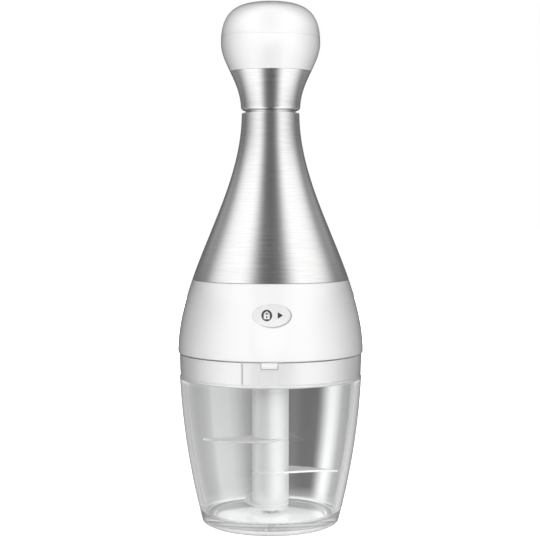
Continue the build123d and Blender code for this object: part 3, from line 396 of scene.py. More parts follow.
def channelWidth(dx, dz):
    turn = math.atan2(dz / badge["halfHeight"], dx / badge["halfWidth"]) - math.radians(badge["widenAt"])
    return badge["rim"] + badge["widen"] * max(0, math.cos(turn)) ** badge["widenPower"]


def channelDepth(dx, dz):
    return badge["grooveDepth"] * (channelWidth(dx, dz) - badge["rim"] / 2) / badge["widen"]


def grooveDepth(x, z):
    # narrow channel round the oval badge, with a soft outer edge
    dx, dz = x - badge["x"], z - badge["z"]
    span = badgeSpan(dx, dz)
    if span < 1e-6:
        return 0
    past = ((span - 1) * math.hypot(dx, dz) / span - channelWidth(dx, dz)) / badge["grooveFade"]
    return 0 if past > 1 else channelDepth(dx, dz) * (1 - max(past, 0)) ** 2


housing = {"wall": 2.2, "lowerRound": 0.7, "upperRound": 0.25, "seamGap": 0.15, "denseAngle": 14.5,
           "denseStep": 0.16, "coarseAngleStep": 2.5, "coarseStep": 1.2}
housing["top"] = skittle["seam"] - housing["seamGap"]


def buildHousing():
    h = housing
    low, high = skittle["bottom"], h["top"]
    # narrow steps only where the channel of the badge is carved; 179.99 stops each part before the other begins
    angles = stepped(h["denseAngle"] - 180, 179.99 - h["denseAngle"], h["coarseAngleStep"])
    angles += stepped(180 - h["denseAngle"], 179.99 + h["denseAngle"], h["denseStep"])
    heights = []
    z = low + h["lowerRound"]
    while z < high - h["upperRound"]:
        heights.append(z)
        z += h["denseStep"] if abs(z - badge["z"]) < badge["halfHeight"] + h["coarseStep"] else h["coarseStep"]
    heights.append(high - h["upperRound"])
    profile = roundFoot(skittleRadius(heights[0]), low, h["lowerRound"], 6)
    profile += [(skittleRadius(z), z) for z in heights]
    profile += roundTop(skittleRadius(high), high, h["upperRound"], 4)
    profile.append((skittleRadius(high) - h["wall"], high))
    profile += inset(between(skittleLine, low + 0.1, high - 0.1), h["wall"])[::-4]
    profile.append((skittleRadius(low) - h["wall"], low))
    verts = []
    for r, z in profile:
        outside = abs(r - skittleRadius(z)) < 0.01
        for a in angles:
            turn = math.radians(a + 90)
            x, y = r * math.cos(turn), r * math.sin(turn)
            if outside and y < 0:
                share = 1 - grooveDepth(x, z) / r
                x, y = x * share, y * share
            verts.append((x, y, z))
    return meshFrom("housingShell", verts, gridFaces(len(profile), len(angles)), sharp=40)


place(buildHousing(), "head", "whiteShell", "white_plastic", "housing")

tab = {"x": -0.6, "halfWidth": 4.15, "low": 87.3, "top": 89.95, "webLow": 90.26, "webTop": 91.6, "webInner": 45.4,
       "webOuter": 45.8, "bridge": 0.1, "inner": 47.95, "outer": 48.55, "round": 0.4, "corner": 1.5,
       "cornerShare": 0.3, "shadeRimGrow": 0.36, "shadeRimInner": 47.72, "shadeRimOuter": 47.93, "shadeRimDrop": 0.1}


def buildTongue(name, grow, layers):
    # rounded tongue bent to the collar's curve, through (radius, shrink, low, top) layers
    half = tab["halfWidth"] + grow
    verts = []
    for radius, shrink, low, top in layers:
        corner = min(tab["corner"], (top - low) * tab["cornerShare"])
        middle = (low + top) / 2
        for x, z in rounded([(-half, low, corner), (half, low, corner), (half, top, 0.02), (-half, top, 0.02)]):
            turn = (x * (1 - shrink / tab["halfWidth"]) + tab["x"]) / tab["outer"]
            lift = shrink * max(-1, min(1, (middle - z) / (middle - low)))
            verts.append((radius * math.sin(turn), -radius * math.cos(turn), z + lift))
    n = len(verts) // len(layers)
    faces = gridFaces(len(layers), n, closeRows=False)
    faces += [tuple(range(n)), tuple(range(len(verts) - n, len(verts)))]
    return meshFrom(name, verts, faces, sharp=40)


def buildIndexTab():
    # the tab hangs on a thin bridge from a web that goes up behind the housing's lip
    t = tab
    bridgeTop = t["webLow"] + t["bridge"]
    layers = [(t["webInner"], 0, t["webLow"], t["webTop"]), (t["webOuter"], 0, t["webLow"], t["webTop"]),
              (t["webOuter"], 0, t["webLow"], bridgeTop), (t["inner"], 0, t["webLow"], bridgeTop),
              (t["inner"], 0, t["low"], bridgeTop)]
    for k in range(5):
        turn = quarterTurn * k / 4
        layers.append((t["outer"] - t["round"] * (1 - math.sin(turn)), t["round"] * (1 - math.cos(turn)),
                       t["low"], t["top"]))
    return buildTongue("indexTab", 0, layers)


# painted shade: a dark rim just larger than the tab, set behind its edge, where the gap round the tab is shaded
def buildTabShadeRim():
    low, top = tab["low"] - tab["shadeRimGrow"], tab["top"] - tab["shadeRimDrop"]
    return buildTongue("tabShadeRim", tab["shadeRimGrow"], [(tab["shadeRimInner"], 0, low, top), (tab["shadeRimOuter"], 0, low, top)])


place(buildIndexTab(), "head", "whiteShell", "white_plastic")
place(buildTabShadeRim(), "head", "seamShade", "grey_rubber")


def onHousing(x, z, lift):
    # point on the housing's front at a distance x to the right and a height z, lifted off the skin
    r = skittleRadius(z) + lift
    return (x, -math.sqrt(max(r * r - x * x, 0)), z)


def badgeLift(x, z):
    span = badgeSpan(x - badge["x"], z - badge["z"])
    edge = min(max((1 - span) / badge["edgeShare"], 0), 1)
    return badge["proud"] * math.sqrt(1 - (1 - edge) ** 2) + badge["dome"] * max(0, 1 - span * span)


def buildBadge():
    rings, around = badge["rings"], badge["around"]
    verts = [onHousing(badge["x"], badge["z"], badgeLift(badge["x"], badge["z"]))]
    for ring in range(1, rings + 1):
        s = 1 - (1 - ring / rings) ** 1.5  # rings crowd towards the edge
        oval = ovalPoints(badge["x"], badge["z"], badge["halfWidth"] * s, badge["halfHeight"] * s, around)
        verts += [onHousing(x, z, badgeLift(x, z)) for x, z in oval]
    verts += [onHousing(x, z, -badge["grooveDepth"] - badge["sink"]) for x, z in oval]
    faces = [tuple(v + 1 for v in face) for face in gridFaces(rings + 1, around, closeRows=False)]
    faces += [(0, 1 + i, 1 + (i + 1) % around) for i in range(around)]
    faces.append(tuple(range(len(verts) - around, len(verts))))
    return meshFrom("lockBadge", verts, faces, sharp=40)


place(buildBadge(), "head", "badgeFace", "badge", "lock_badge")

# dark band of painted shade in the badge's channel
shadeBand = {"around": 120, "layers": ((-0.3, 0.06), (0.0, 0.06), (1.0, 0.06), (1.0, -0.1)), "overlap": 0.02}


def buildBadgeShadeBand():
    # painted shade: a thin dark band on the floor of the channel, widest where the channel widens at the lower right,
    # through (share of its width, lift) layers
    verts = []
    for share, lift in shadeBand["layers"]:
        for dx, dz in ovalPoints(0, 0, badge["halfWidth"], badge["halfHeight"], shadeBand["around"]):
            reach = (channelWidth(dx, dz) - badge["rim"]) * share - shadeBand["overlap"]
            grow = 1 + reach / math.hypot(dx, dz)
            verts.append(onHousing(badge["x"] + dx * grow, badge["z"] + dz * grow, lift - channelDepth(dx, dz)))
    return meshFrom("badgeShadeBand", verts, gridFaces(len(shadeBand["layers"]), shadeBand["around"]), sharp=40)


place(buildBadgeShadeBand(), "head", "seamShade", "badge")

# places and shapes of the symbols; shapes are (x, z, fillet) corners from the middle of the disc or of the arrow
symbols = {"disc": (-1.9, 113.95), "discRadius": 2.7, "discTall": 1.05, "arrow": (4.75, 113.95), "lift": 0.03,
           "step": 0.02, "rings": 6, "sink": 0.05,
           "lockBody": [(-1.5, -1.8, 0.3), (1.5, -1.8, 0.3), (1.5, 0.25, 0.15), (-1.5, 0.25, 0.15)],
           "lockShackle": [(-1.5, 0.1, 0.1), (1.5, 0.1, 0.1), (1.4, 0.95, 0.4), (0, 2.2, 0.6), (-1.4, 0.95, 0.4)],
           "shackleHole": [(-1.0, 0.5, 0.1), (1.0, 0.5, 0.1), (0, 1.5, 0.3)],
           "keyhole": [(-0.32, -1.25, 0.15), (0.32, -1.25, 0.15), (0.32, -0.3, 0.2), (-0.32, -0.3, 0.2)],
           "openArrow": [(-1.25, -1.65, 0.15), (1.45, 0, 0.15), (-1.25, 1.65, 0.15)]}


def inkPatch(name, outline, layer=0, finishName="badgeInk"):
    # thin ink shape laid on the domed badge, filled in rings towards its middle
    n, rings = len(outline), symbols["rings"]
    cx, cz = (sum(p[k] for p in outline) / n for k in range(2))
    lift = symbols["lift"] + symbols["step"] * layer
    points = [(cx + (x - cx) * share, cz + (z - cz) * share)
              for share in (1 - ring / rings for ring in range(rings)) for x, z in outline] + [(cx, cz)]
    verts = [onHousing(x, z, badgeLift(x, z) + lift) for x, z in points]
    verts += [onHousing(x, z, badgeLift(x, z) - symbols["sink"]) for x, z in outline]
    middle = rings * n
    faces = gridFaces(rings, n, closeRows=False)
    for i in range(n):
        j = (i + 1) % n
        faces.append((middle - n + i, middle - n + j, middle))
        faces.append((i, j, middle + 1 + j, middle + 1 + i))
    faces.append(tuple(middle + 1 + i for i in range(n)))
    return place(meshFrom(name, verts, faces, sharp=40), "head", finishName, "badge")


def buildSymbols():
    # dark disc with a pale padlock, and the arrow of the opening direction
    def shape(key, middle):
        return rounded([(middle[0] + x, middle[1] + z, fillet) for x, z, fillet in symbols[key]])
    radius = symbols["discRadius"]
    inkPatch("lockDisc", ovalPoints(*symbols["disc"], radius, radius * symbols["discTall"]))
    for key, layer, finishName in (("lockBody", 1, "badgeFace"), ("lockShackle", 1, "badgeFace"),
                                   ("shackleHole", 2, "badgeInk"), ("keyhole", 2, "badgeInk")):
        inkPatch(key, shape(key, symbols["disc"]), layer, finishName)
    inkPatch("openArrow", shape("openArrow", symbols["arrow"]))


buildSymbols()
print("head housing and badge built")

neck = {"wall": 0.8, "lipRound": 0.8, "lipInner": 12.45, "edge": 0.1, "seamEdge": (0.12, 0.02), "turns": 256}


def buildNeckShell():
    low, high, wall = skittle["seam"], skittle["top"], neck["wall"]
    outer = between(skittleLine, low, high - neck["lipRound"])
    base = outer[0][0]
    profile = [(base - neck["seamEdge"][0], low), (base - neck["seamEdge"][1], low + neck["edge"])] + outer[1:]
    profile += roundTop(outer[-1][0], high, neck["lipRound"], 8)
    profile += [(neck["lipInner"] + neck["edge"], high), (neck["lipInner"], high - neck["edge"]),
                (neck["lipInner"], high - wall), (skittleRadius(high - wall) - wall, high - wall)]
    profile += inset(outer, wall)[::-6] + [(base - wall, low)]
    return lathe("neckShell", profile, neck["turns"], sharp=50)


place(buildNeckShell(), "head", "coneSteel", "brushed_steel", "neck_shell")
print("steel neck built")


# knob

knob = {"stemRadius": 15.6, "radius": 26.1, "crownHandle": 13.4, "stemHandle": 15.3, "waistHandle": 11.4,
        "domeHandle": 20.1, "widestRise": 35.3, "topDrop": 0.4, "seam": 0.02, "seamRound": 0.14, "seamReach": 1.6,
        "lowerSeamReach": 0.9, "steelWall": 0.8, "wall": 2.4, "footRound": 2.1, "footDrop": 0.45,
        "footInner": 12.9, "footEdge": 0.1, "turns": 224,
        # small steps of the edges at the seams, as (inwards, off the seam)
        "seamSteps": ((0.12, 0), (0.03, 0.06)), "steelSteps": ((0.03, 0.12), (0.15, 0))}
knobLow, knobSteelTop = heightsOf("knob_collar")
knobSeam = heightsOf("knob_body")[1]
knobTop = heightsOf("knob_cap")[1] - knob["topDrop"]
knobWidest = knobLow + knob["widestRise"]
knobLine = bezierPoints((knob["stemRadius"], knobLow), (knob["stemRadius"], knobLow + knob["stemHandle"]),
                        (knob["radius"], knobWidest - knob["waistHandle"]), (knob["radius"], knobWidest), 90)
domeLine = bezierPoints((knob["radius"], knobWidest), (knob["radius"], knobWidest + knob["domeHandle"]),
                        (knob["crownHandle"], knobTop), (0, knobTop), 90)


def seamEdge(r, z, reach, side):
    # softened edge at a seam, from the inside out; side is 1 at a lower edge and -1 at an upper one
    return [(r - reach, z)] + [(r - inwards, z + side * off) for inwards, off in knob["seamSteps"]]


def buildKnobCollar():
    low, wall = knobLow - knob["footDrop"], knob["steelWall"]
    outer = between(knobLine, low + knob["footRound"], knobSteelTop)
    top = outer[-1][0]
    profile = roundFoot(outer[0][0], low, knob["footRound"], 8) + outer[:-1]
    profile += [(top - inwards, knobSteelTop - off) for inwards, off in (*knob["steelSteps"], (wall, 0))]
    profile += inset(outer, wall)[::-4]
    inner, edge = knob["footInner"], knob["footEdge"]
    profile += [(inner + edge, knobLow + wall), (inner, low + edge), (inner + edge, low)]
    return lathe("knobCollar", profile, knob["turns"], sharp=50)


def buildKnobBody():
    low = knobSteelTop + knob["seam"]
    outer = between(knobLine, low + knob["seamRound"], knobWidest)
    outer += between(domeLine, knobWidest, knobSeam - knob["seamRound"])[1:]
    profile = seamEdge(outer[0][0], low, knob["lowerSeamReach"], 1) + outer
    profile += seamEdge(outer[-1][0], knobSeam, knob["seamReach"], -1)[::-1]
    profile += inset(outer, knob["wall"])[::-4] + [(outer[0][0] - knob["wall"], low)]
    return lathe("knobBody", profile, knob["turns"], sharp=50)


def buildKnobCap():
    low, wall = knobSeam + knob["seam"], knob["wall"]
    outer = between(domeLine, low + knob["seamRound"], knobTop)
    profile = seamEdge(outer[0][0], low, knob["seamReach"], 1) + outer[:-1] + [(0, knobTop), (0, knobTop - wall)]
    profile += [(r - wall, z - wall * (1 - r / knob["radius"])) for r, z in outer[::-5] if r > wall + 1]
    return lathe("knobCap", profile, knob["turns"], sharp=50)


place(buildKnobCollar(), "plunger", "coneSteel", "brushed_steel", "knob_collar")
place(buildKnobCap(), "plunger", "whiteShell", "white_plastic", "knob_cap")
place(buildKnobBody(), "plunger", "whiteShell", "white_plastic", "knob_body")
print("knob built")


# collar round the bowl's neck

collar = {"low": 78.1, "high": 90.2, "lowRadius": 47.7, "highRadius": 48.15, "wall": 1.45, "edgeRound": 0.35,
          "ledge": 2.8, "ledgeRadius": 44.0, "ledgeEdge": 0.2, "rowStep": 0.14,
          "stepAngle": -17.4, "stepLead": 0.6, "recess": 0.65, "fade": 58.0, "lipHeight": 0.6, "lipSoft": 0.25,
          "notch": 0.5, "notchHalf": 0.5, "notchSoft": 0.18, "strip": 0.33, "stripTurn": 0.1, "stripRise": 1.0,
          "stripDrop": 0.45, "stripSink": 0.15, "stripLift": 0.08, "beadRadius": 0.48, "beadDrop": 0.1, "beadIn": 0.1,
          "beadSteps": 12, "groove": 0.4, "grooveLow": 0.4, "grooveHigh": 1.0, "grooveSoft": (0.15, 0.2),
          "windowX": -0.8, "windowHalf": 4.85, "windowLow": 79.2, "windowHigh": 86.3, "windowDepth": 0.45,
          "windowSoft": 0.3, "windowFade": 3.0,
          # angles from the front where the steps round the collar get longer, and those steps
          "turnSteps": ((-22.0, 0.15), (8, 1.0), (44, 2.0), (338, 0))}


def smooth(x):
    x = min(max(x, 0), 1)
    return x * x * (3 - 2 * x)


def collarRadius(z):
    share = (z - collar["low"]) / (collar["high"] - collar["low"])
    return collar["lowRadius"] + (collar["highRadius"] - collar["lowRadius"]) * share


def collarDepth(angle, z):
    # how deep the outside is carved; angle in degrees from the front, to the right
    c = collar
    depth, along = 0, angle - c["stepAngle"]
    if -c["stepLead"] < along < c["fade"]:
        depth = c["recess"] * (1 - max(along, 0) / c["fade"]) * smooth(along / c["stepLead"] + 1)
        depth += c["notch"] * smooth((c["notchHalf"] - abs(along)) / c["notchSoft"])
        depth *= smooth((z - c["low"] - c["lipHeight"]) / c["lipSoft"])
    x = c["highRadius"] * math.radians(angle) - c["windowX"]
    window = min(smooth((c["windowHalf"] + x) / c["windowSoft"]), smooth((c["windowHalf"] - x) / c["windowFade"]),
                 smooth((z - c["windowLow"]) / c["windowSoft"]), smooth((c["windowHigh"] - z) / c["windowSoft"]))
    # shallow groove that sets the lower bead off
    rise = z - c["low"]
    softLow, softHigh = c["grooveSoft"]
    groove = smooth((rise - c["grooveLow"]) / softLow) * smooth((c["grooveHigh"] - rise) / softHigh)
    return depth + c["windowDepth"] * window + c["groove"] * groove


def buildCollar():
    c = collar
    low, high = c["low"], c["high"]
    angles, a = [], c["turnSteps"][0][0]
    for (_, step), (end, _) in zip(c["turnSteps"], c["turnSteps"][1:]):
        angles += stepped(a, end, step)
        a = angles[-1] + step
    turns = [math.pi * (k / c["beadSteps"] - 0.5) for k in range(c["beadSteps"] + 1)]
    bead = [(c["lowRadius"] - c["beadIn"] + c["beadRadius"] * math.cos(t),
             low - c["beadDrop"] + c["beadRadius"] * math.sin(t)) for t in turns]
    heights = stepped(low + c["edgeRound"], high - c["edgeRound"], c["rowStep"]) + [high - c["edgeRound"]]
    wall = [(collarRadius(z), z) for z in heights if z > low + c["beadRadius"] - c["beadDrop"]]
    wall += roundTop(c["highRadius"], high, c["edgeRound"], 5)
    inner = c["lowRadius"] - c["wall"]
    inside = [(c["ledgeRadius"] + c["ledgeEdge"], high), (c["ledgeRadius"], high - c["ledgeEdge"]),
              (c["ledgeRadius"], high - c["ledge"]), (inner, high - c["ledge"]), (inner, low)]
    verts = []
    for points, carved in ((bead, 0), (wall, 1), (inside, 0)):
        for r, z in points:
            for a in angles:
                turn = math.radians(a - 90)
                deep = r - (collarDepth(a, z) if carved else 0)
                verts.append((deep * math.cos(turn), deep * math.sin(turn), z))
    return meshFrom("bowlCollar", verts, gridFaces(len(verts) // len(angles), len(angles)), sharp=40)


def buildStepStrip():
    # painted shadow: a narrow dark strip on the floor of the notch, where the step's shadow gathers
    c = collar
    middle = c["stepAngle"] + c["stripTurn"]
    verts = []
    for z in (c["low"] + c["stripRise"], c["high"] - c["stripDrop"]):
        for side, lift in ((-1, -c["stripSink"]), (1, -c["stripSink"]), (1, c["stripLift"]), (-1, c["stripLift"])):
            r = collarRadius(z) - collarDepth(middle, z) + lift
            turn = math.radians(middle + side * c["strip"])
            verts.append((r * math.sin(turn), -r * math.cos(turn), z))
    return meshFrom("stepStrip", verts, gridFaces(2, 4, closeRows=False) + [(0, 1, 2, 3), (4, 5, 6, 7)], sharp=40)


place(buildCollar(), "bowl_body", "collarWhite", "white_plastic", "bowl_collar")
place(buildStepStrip(), "bowl_body", "seamShade", "grey_rubber")
print("collar built")


# clear bowl

bowl = {"rimHeight": 78.1, "rimRadius": 48.05, "footRadius": 36.1, "footHeight": 1.6, "bulge": 2.0, "wall": 3.0,
        "stand": 0.8, "hollow": 2.8, "floorTop": 6.1, "floorRound": 3.0, "roundShare": 0.97, "roundInset": 0.02,
        "footRound": 0.7, "neckTop": 83.7, "neckOuter": 46.2, "ringOuter": 34.0, "ringInner": 30.4, "ringGap": 0.05,
        "groove": 3.0, "bossRadius": 4.2, "bossTop": 3.4, "bossHeight": 1.4, "bossFlare": 6, "bossEdge": 0.4,
        "lipRun": 3, "edge": 0.3, "thickEdge": 0.5, "rimEdge": 0.45, "turns": 256, "wallSteps": 64, "floorSteps": 10,
        "ringFillets": (0.6, 0.6, 0.2, 0.2), "ringTurns": 192, "pinRadius": 1.75, "pinSink": 2.8,
        "pinFillets": (0, 0.2, 0.8, 0), "pinTurns": 64}


def bowlWall(count):
    b = bowl
    middle = ((b["footRadius"] + b["rimRadius"]) / 2 + b["bulge"], (b["footHeight"] + b["rimHeight"]) / 2)
    return arcThrough((b["footRadius"], b["footHeight"]), middle, (b["rimRadius"], b["rimHeight"]), count)


def buildBowl():
    b = bowl
    stand, rim, floor, fillet = b["stand"], b["rimHeight"], b["floorTop"], b["floorRound"]
    edge, thickEdge, boss = b["edge"], b["thickEdge"], b["floorTop"] + b["bossHeight"]
    wall = bowlWall(b["wallSteps"])
    inner = between(inset(wall, b["wall"]), floor + fillet, rim - 0.1)
    foot = wall[2]
    profile = rounded([(b["footRadius"] - b["footRound"], stand, edge), (b["footRadius"], b["footHeight"], edge),
                       (*foot, 0), (b["ringOuter"], b["groove"], 0)])[:-1]
    profile += between(wall, foot[1] + 0.3, rim - 0.5)
    profile += rounded([(b["rimRadius"], rim - 1.2, 0), (b["rimRadius"], rim, b["rimEdge"]),
                        (b["neckOuter"], rim, 0)])[1:]
    top, innerNeck = b["neckTop"], b["rimRadius"] - b["wall"]
    profile += rounded([(b["neckOuter"], rim + 1, 0), (b["neckOuter"], top, thickEdge), (innerNeck, top, thickEdge),
                        (innerNeck, rim, 0)])[1:-1]
    profile += inner[::-1]
    floorTurns = [quarterTurn * k / b["floorSteps"] for k in range(1, b["floorSteps"] + 1)]
    profile += [(inner[0][0] - fillet * (1 - math.cos(a)) * b["roundShare"] - b["roundInset"],
                 floor + fillet * (1 - math.sin(a))) for a in floorTurns]
    profile += rounded([(b["bossRadius"] + b["bossFlare"], floor, 0), (b["bossRadius"], floor, b["bossEdge"]),
                        (b["bossTop"], boss, edge), (b["pinRadius"], boss, 0)])[1:]
    profile += [(b["pinRadius"], floor - b["pinSink"]), (0, floor - b["pinSink"]), (0, b["hollow"])]
    lip = b["ringInner"] - b["wall"] / 2
    profile += rounded([(lip - b["lipRun"], b["hollow"], 0), (lip, b["hollow"], thickEdge), (lip, stand, edge),
                        (b["ringInner"], stand, edge), (b["ringInner"], b["groove"], edge),
                        (b["ringOuter"], b["groove"], edge), (b["ringOuter"], stand, edge),
                        (b["ringOuter"] + 1, stand, 0)])[1:]
    return lathe("bowlClear", profile, b["turns"], sharp=60)


bowlPiece = place(buildBowl(), "bowl_body", "bowlClear", "clear_plastic", "bowl")
bowlPiece.visible_shadow = False  # lamps reach the column through the clear wall


def buildRing(name, heights, radii, fillets, turns, sharp=32, steps=6):
    # plain turned ring; fillets at the inner foot, outer foot, outer top and inner top
    (low, high), (inner, outer) = heights, radii
    corners = ((inner, low), (outer, low), (outer, high), (inner, high))
    return lathe(name, rounded([(*corner, f) for corner, f in zip(corners, fillets)], steps), turns, sharp)


place(buildRing("footRing", heightsOf("foot_ring"),
                (bowl["ringInner"] + bowl["ringGap"], bowl["ringOuter"] - bowl["ringGap"]),
                bowl["ringFillets"], bowl["ringTurns"], sharp=50),
      "bowl_body", "ringClear", "clear_rubber", "foot_ring")
place(buildRing("pivotPin", heightsOf("pivot_pin"), (0, bowl["pinRadius"]), bowl["pinFillets"],
                bowl["pinTurns"]), "bowl_body", "plainSteel", "steel", "pivot_pin")
print("bowl built")


# blade column

column = {"radius": 9.8, "bore": 6.3, "edge": 0.25, "topEdge": 0.05, "footBore": 4.65,
          "footFillets": (0.1, 0.9, 0.2, 0), "skirtGap": 0.06, "skirtTop": 79.0, "skirtInner": 8.9, "skirtEdge": 0.05,
          "turns": 128}

for key, topEdge in (("lower", column["edge"]), ("middle", column["edge"]), ("upper", column["topEdge"])):
    place(buildRing(key + "Sleeve", heightsOf(key + "_sleeve"), (column["bore"], column["radius"]),
                    (0, column["edge"], topEdge, 0), column["turns"], steps=4),
          "drive", "pearlColumn", "pearl_plastic", key + "_sleeve")
place(buildRing("columnFoot", heightsOf("column_foot"), (column["footBore"], column["radius"]),
                column["footFillets"], column["turns"]), "drive", "pearlColumn", "pearl_plastic", "column_foot")
# skirt round the lid's shaft boss, in line with the column below it
place(buildRing("bossSkirt", (heightsOf("upper_sleeve")[1] + column["skirtGap"], column["skirtTop"]),
                (column["skirtInner"], column["radius"]), (0, column["skirtEdge"], 0, 0),
                column["turns"], steps=4), "head", "pearlColumn", "pearl_plastic")

# the pulls are handles of the blade's curves, as shares of its reach, or of the reach and the hub
blades = {"thickness": 1.0, "edge": 0.22, "bevel": 1.5, "bevelShare": 0.45, "hub": 9.6, "hubBore": 6.3,
          "hubEdge": 0.1, "hubOverlap": 0.4, "crankStart": 9.8, "crankEnd": 14.5, "rows": 72, "columns": 14,
          "startAngle": 150, "heelAngle": -38, "tipAngle": 7, "backTipAngle": 5.5, "tipPull": (0.61, 0.325),
          "backTipPull": (0.72, 0.5), "heelPull": (0.46, -0.1), "hubTurns": 96}
bladeSet = {
    "upper": {"reach": 36.0, "fullness": 14.5, "crank": 0.2, "angle": 181.0},
    "middle": {"reach": 36.0, "fullness": 14.5, "crank": 0.1, "angle": 350.0},
    "lower": {"reach": 34.4, "fullness": 13.0, "crank": 0.0, "angle": 97.0},
}


def polar(radius, degrees):
    turn = math.radians(degrees)
    return radius * math.cos(turn), radius * math.sin(turn)


def bladeCurves(blade):
    # cutting edge from the hub to the tip, and the border inside it: round the hub, then out along the back
    b, reach, rows = blades, blade["reach"], blades["rows"]
    start, away = polar(b["hub"], b["startAngle"]), polar(blade["fullness"], b["startAngle"] - 90)
    tip, backTip = polar(reach, b["tipAngle"]), polar(reach, b["backTipAngle"])
    cutting = bezierPoints(start, (start[0] + away[0], start[1] + away[1]),
                           (tip[0] - reach * b["tipPull"][0], tip[1] + reach * b["tipPull"][1]), tip, rows)
    (nearX, nearY), (farX, farY), half = b["heelPull"], b["backTipPull"], rows // 2
    back = bezierPoints(backTip, (reach * farX, b["hub"] * farY), (reach * nearX, b["hub"] * nearY),
                        polar(b["hub"], b["heelAngle"]), half)
    turn = (b["heelAngle"] - b["startAngle"]) / half
    inner = [polar(b["hub"] - b["hubOverlap"], b["startAngle"] + turn * i) for i in range(half + 1)]
    return cutting, inner + back[::-1][1:]


def buildBlade(key):
    b, blade, node = blades, bladeSet[key], key + "_blade"
    top = heightsOf(node)[1]
    turn = math.radians(blade["angle"])
    count = b["columns"] + 1
    verts = []
    for side in (0, 1):
        for (ox, oy), (ix, iy) in zip(*bladeCurves(blade)):
            width = math.hypot(ox - ix, oy - iy)
            bevel = min(b["bevel"], width * b["bevelShare"])
            for k in range(count):
                t = k / b["columns"]
                x, y = ix + (ox - ix) * t, iy + (oy - iy) * t
                ground = min((1 - t) * width / bevel, 1) if bevel > 1e-6 else 1
                crank = (math.hypot(x, y) - b["crankStart"]) / (b["crankEnd"] - b["crankStart"])
                z = top - blade["crank"] * min(max(crank, 0), 1)
                z -= b["thickness"] if side else (b["thickness"] - b["edge"]) * (1 - ground)
                verts.append((x * math.cos(turn) - y * math.sin(turn), x * math.sin(turn) + y * math.cos(turn), z))
    sheet = len(verts) // 2
    faces = gridFaces(b["rows"] + 1, count, closeRows=False, closeCount=False)
    faces += [tuple(v + sheet for v in face) for face in faces]
    border = [*range(count - 1), *range(count - 1, sheet - 1, count), *range(sheet - 1, sheet - count, -1),
              *range(sheet - count, 0, -count)]
    faces += [(i, j, j + sheet, i + sheet) for i, j in zip(border, border[1:] + border[:1])]
    arm = meshFrom(key + "BladeArm", verts, faces, sharp=25)
    hub = buildRing(key + "BladeHub", (top - b["thickness"], top), (b["hubBore"], b["hub"]),
                    (0, b["hubEdge"], b["hubEdge"], 0), b["hubTurns"], steps=3)
    for piece in (hub, arm):
        place(piece, "drive", "bladeSteel", "blade_steel", node)


for key in bladeSet:
    buildBlade(key)
print("column and blades built")


# stage: floor, lamps, reflectors and camera, in metres where nothing else is said

stage = {"floorSize": 12.0, "floorGlow": (0.82, 1.0), "glowReach": (0.3, 1.2), "floorColor": 0.8, "ambient": 0.06}


def grey(level):
    return (level, level, level, 1)


def emptyMaterial(name):
    mat = bpy.data.materials.new(name)
    mat.use_nodes = True
    mat.node_tree.nodes.clear()
    return mat, mat.node_tree


def seenOrLit(tree, lit, seen):
    # one shader for rays that light the object, the other for rays that show the background
    path = addNode(tree, "LightPath", {}).outputs
    shows = mathNode(tree, "MAXIMUM", path["Is Camera Ray"], path["Is Glossy Ray"])
    shows = mathNode(tree, "MAXIMUM", shows, path["Is Transmission Ray"])
    return addNode(tree, "MixShader", {0: shows, 1: lit.outputs[0], 2: seen.outputs[0]}).outputs[0]


def buildWorld():
    world = bpy.data.worlds.new("studio")
    bpy.context.scene.world = world
    world.use_nodes = True
    tree = world.node_tree
    tree.nodes.clear()
    dim, white = (addNode(tree, "Background", {"Color": grey(1), "Strength": level}) for level in (stage["ambient"], 1))
    addNode(tree, "OutputWorld", {"Surface": seenOrLit(tree, dim, white)})


def buildFloor():
    s = stage["floorSize"] / 2 / mm
    floor = meshFrom("floor", [(-s, -s, 0), (s, -s, 0), (s, s, 0), (-s, s, 0)], [(0, 1, 2, 3)])
    mat, tree = emptyMaterial("paleFloor")
    # the glow rises away from the object, so that the far floor stays as white as the near one
    away = addNode(tree, "VectorMath", {0: objectCoords(tree)}, operation="LENGTH").outputs["Value"]
    glow = addNode(tree, "Emission", {"Strength": rampBetween(tree, away, *stage["floorGlow"], *stage["glowReach"])})
    diffuse = addNode(tree, "BsdfDiffuse", {"Color": grey(stage["floorColor"])})
    both = addNode(tree, "AddShader", {0: diffuse.outputs[0], 1: glow.outputs[0]})
    addNode(tree, "OutputMaterial", {"Surface": seenOrLit(tree, diffuse, both)})
    floor.data.materials.append(mat)
    floor.visible_glossy = False


knobLamp = {"power": 0.0042, "size": (0.12, 0.12), "aim": (0, 0, 0.256), "spread": 16}
lamps = {
    "keyLamp": {"power": 18.3, "size": (0.9, 0.7), "place": (0.04, -1.5, 0.33), "aim": (0, 0, 0.13)},
    "backLamp": {"power": 20.0, "size": (1.2, 0.7), "place": (0, 1.6, 0.45), "aim": (0, 0, 0.12)},
    "glintLamp": {"power": 3.5, "size": (0.5, 0.3), "place": (0, 1.6, 0.36), "aim": (0, 0, 0.06)},
    "knobLampLeft": {**knobLamp, "place": (-0.6, 0, 0.256)},
    "knobLampRight": {**knobLamp, "place": (0.6, 0, 0.256)},
    "topLamp": {"power": 6.5, "size": (0.9, 0.9), "place": (0, -0.5, 1.5), "aim": (0, 0, 0.2)},
}


def areaLamp(name, values):
    data = bpy.data.lights.new(name, "AREA")
    data.shape = "RECTANGLE"
    data.size, data.size_y = values["size"]
    data.energy = values["power"]
    data.spread = math.radians(values.get("spread", 180))
    lamp = addObject(name, data)
    lamp.location = values["place"]
    lamp.rotation_euler = (Vector(values["aim"]) - Vector(values["place"])).to_track_quat("-Z", "Y").to_euler()
    lamp.visible_glossy = False
    lamp.visible_transmission = False


buildWorld()
buildFloor()
for name, values in lamps.items():
    areaLamp(name, values)

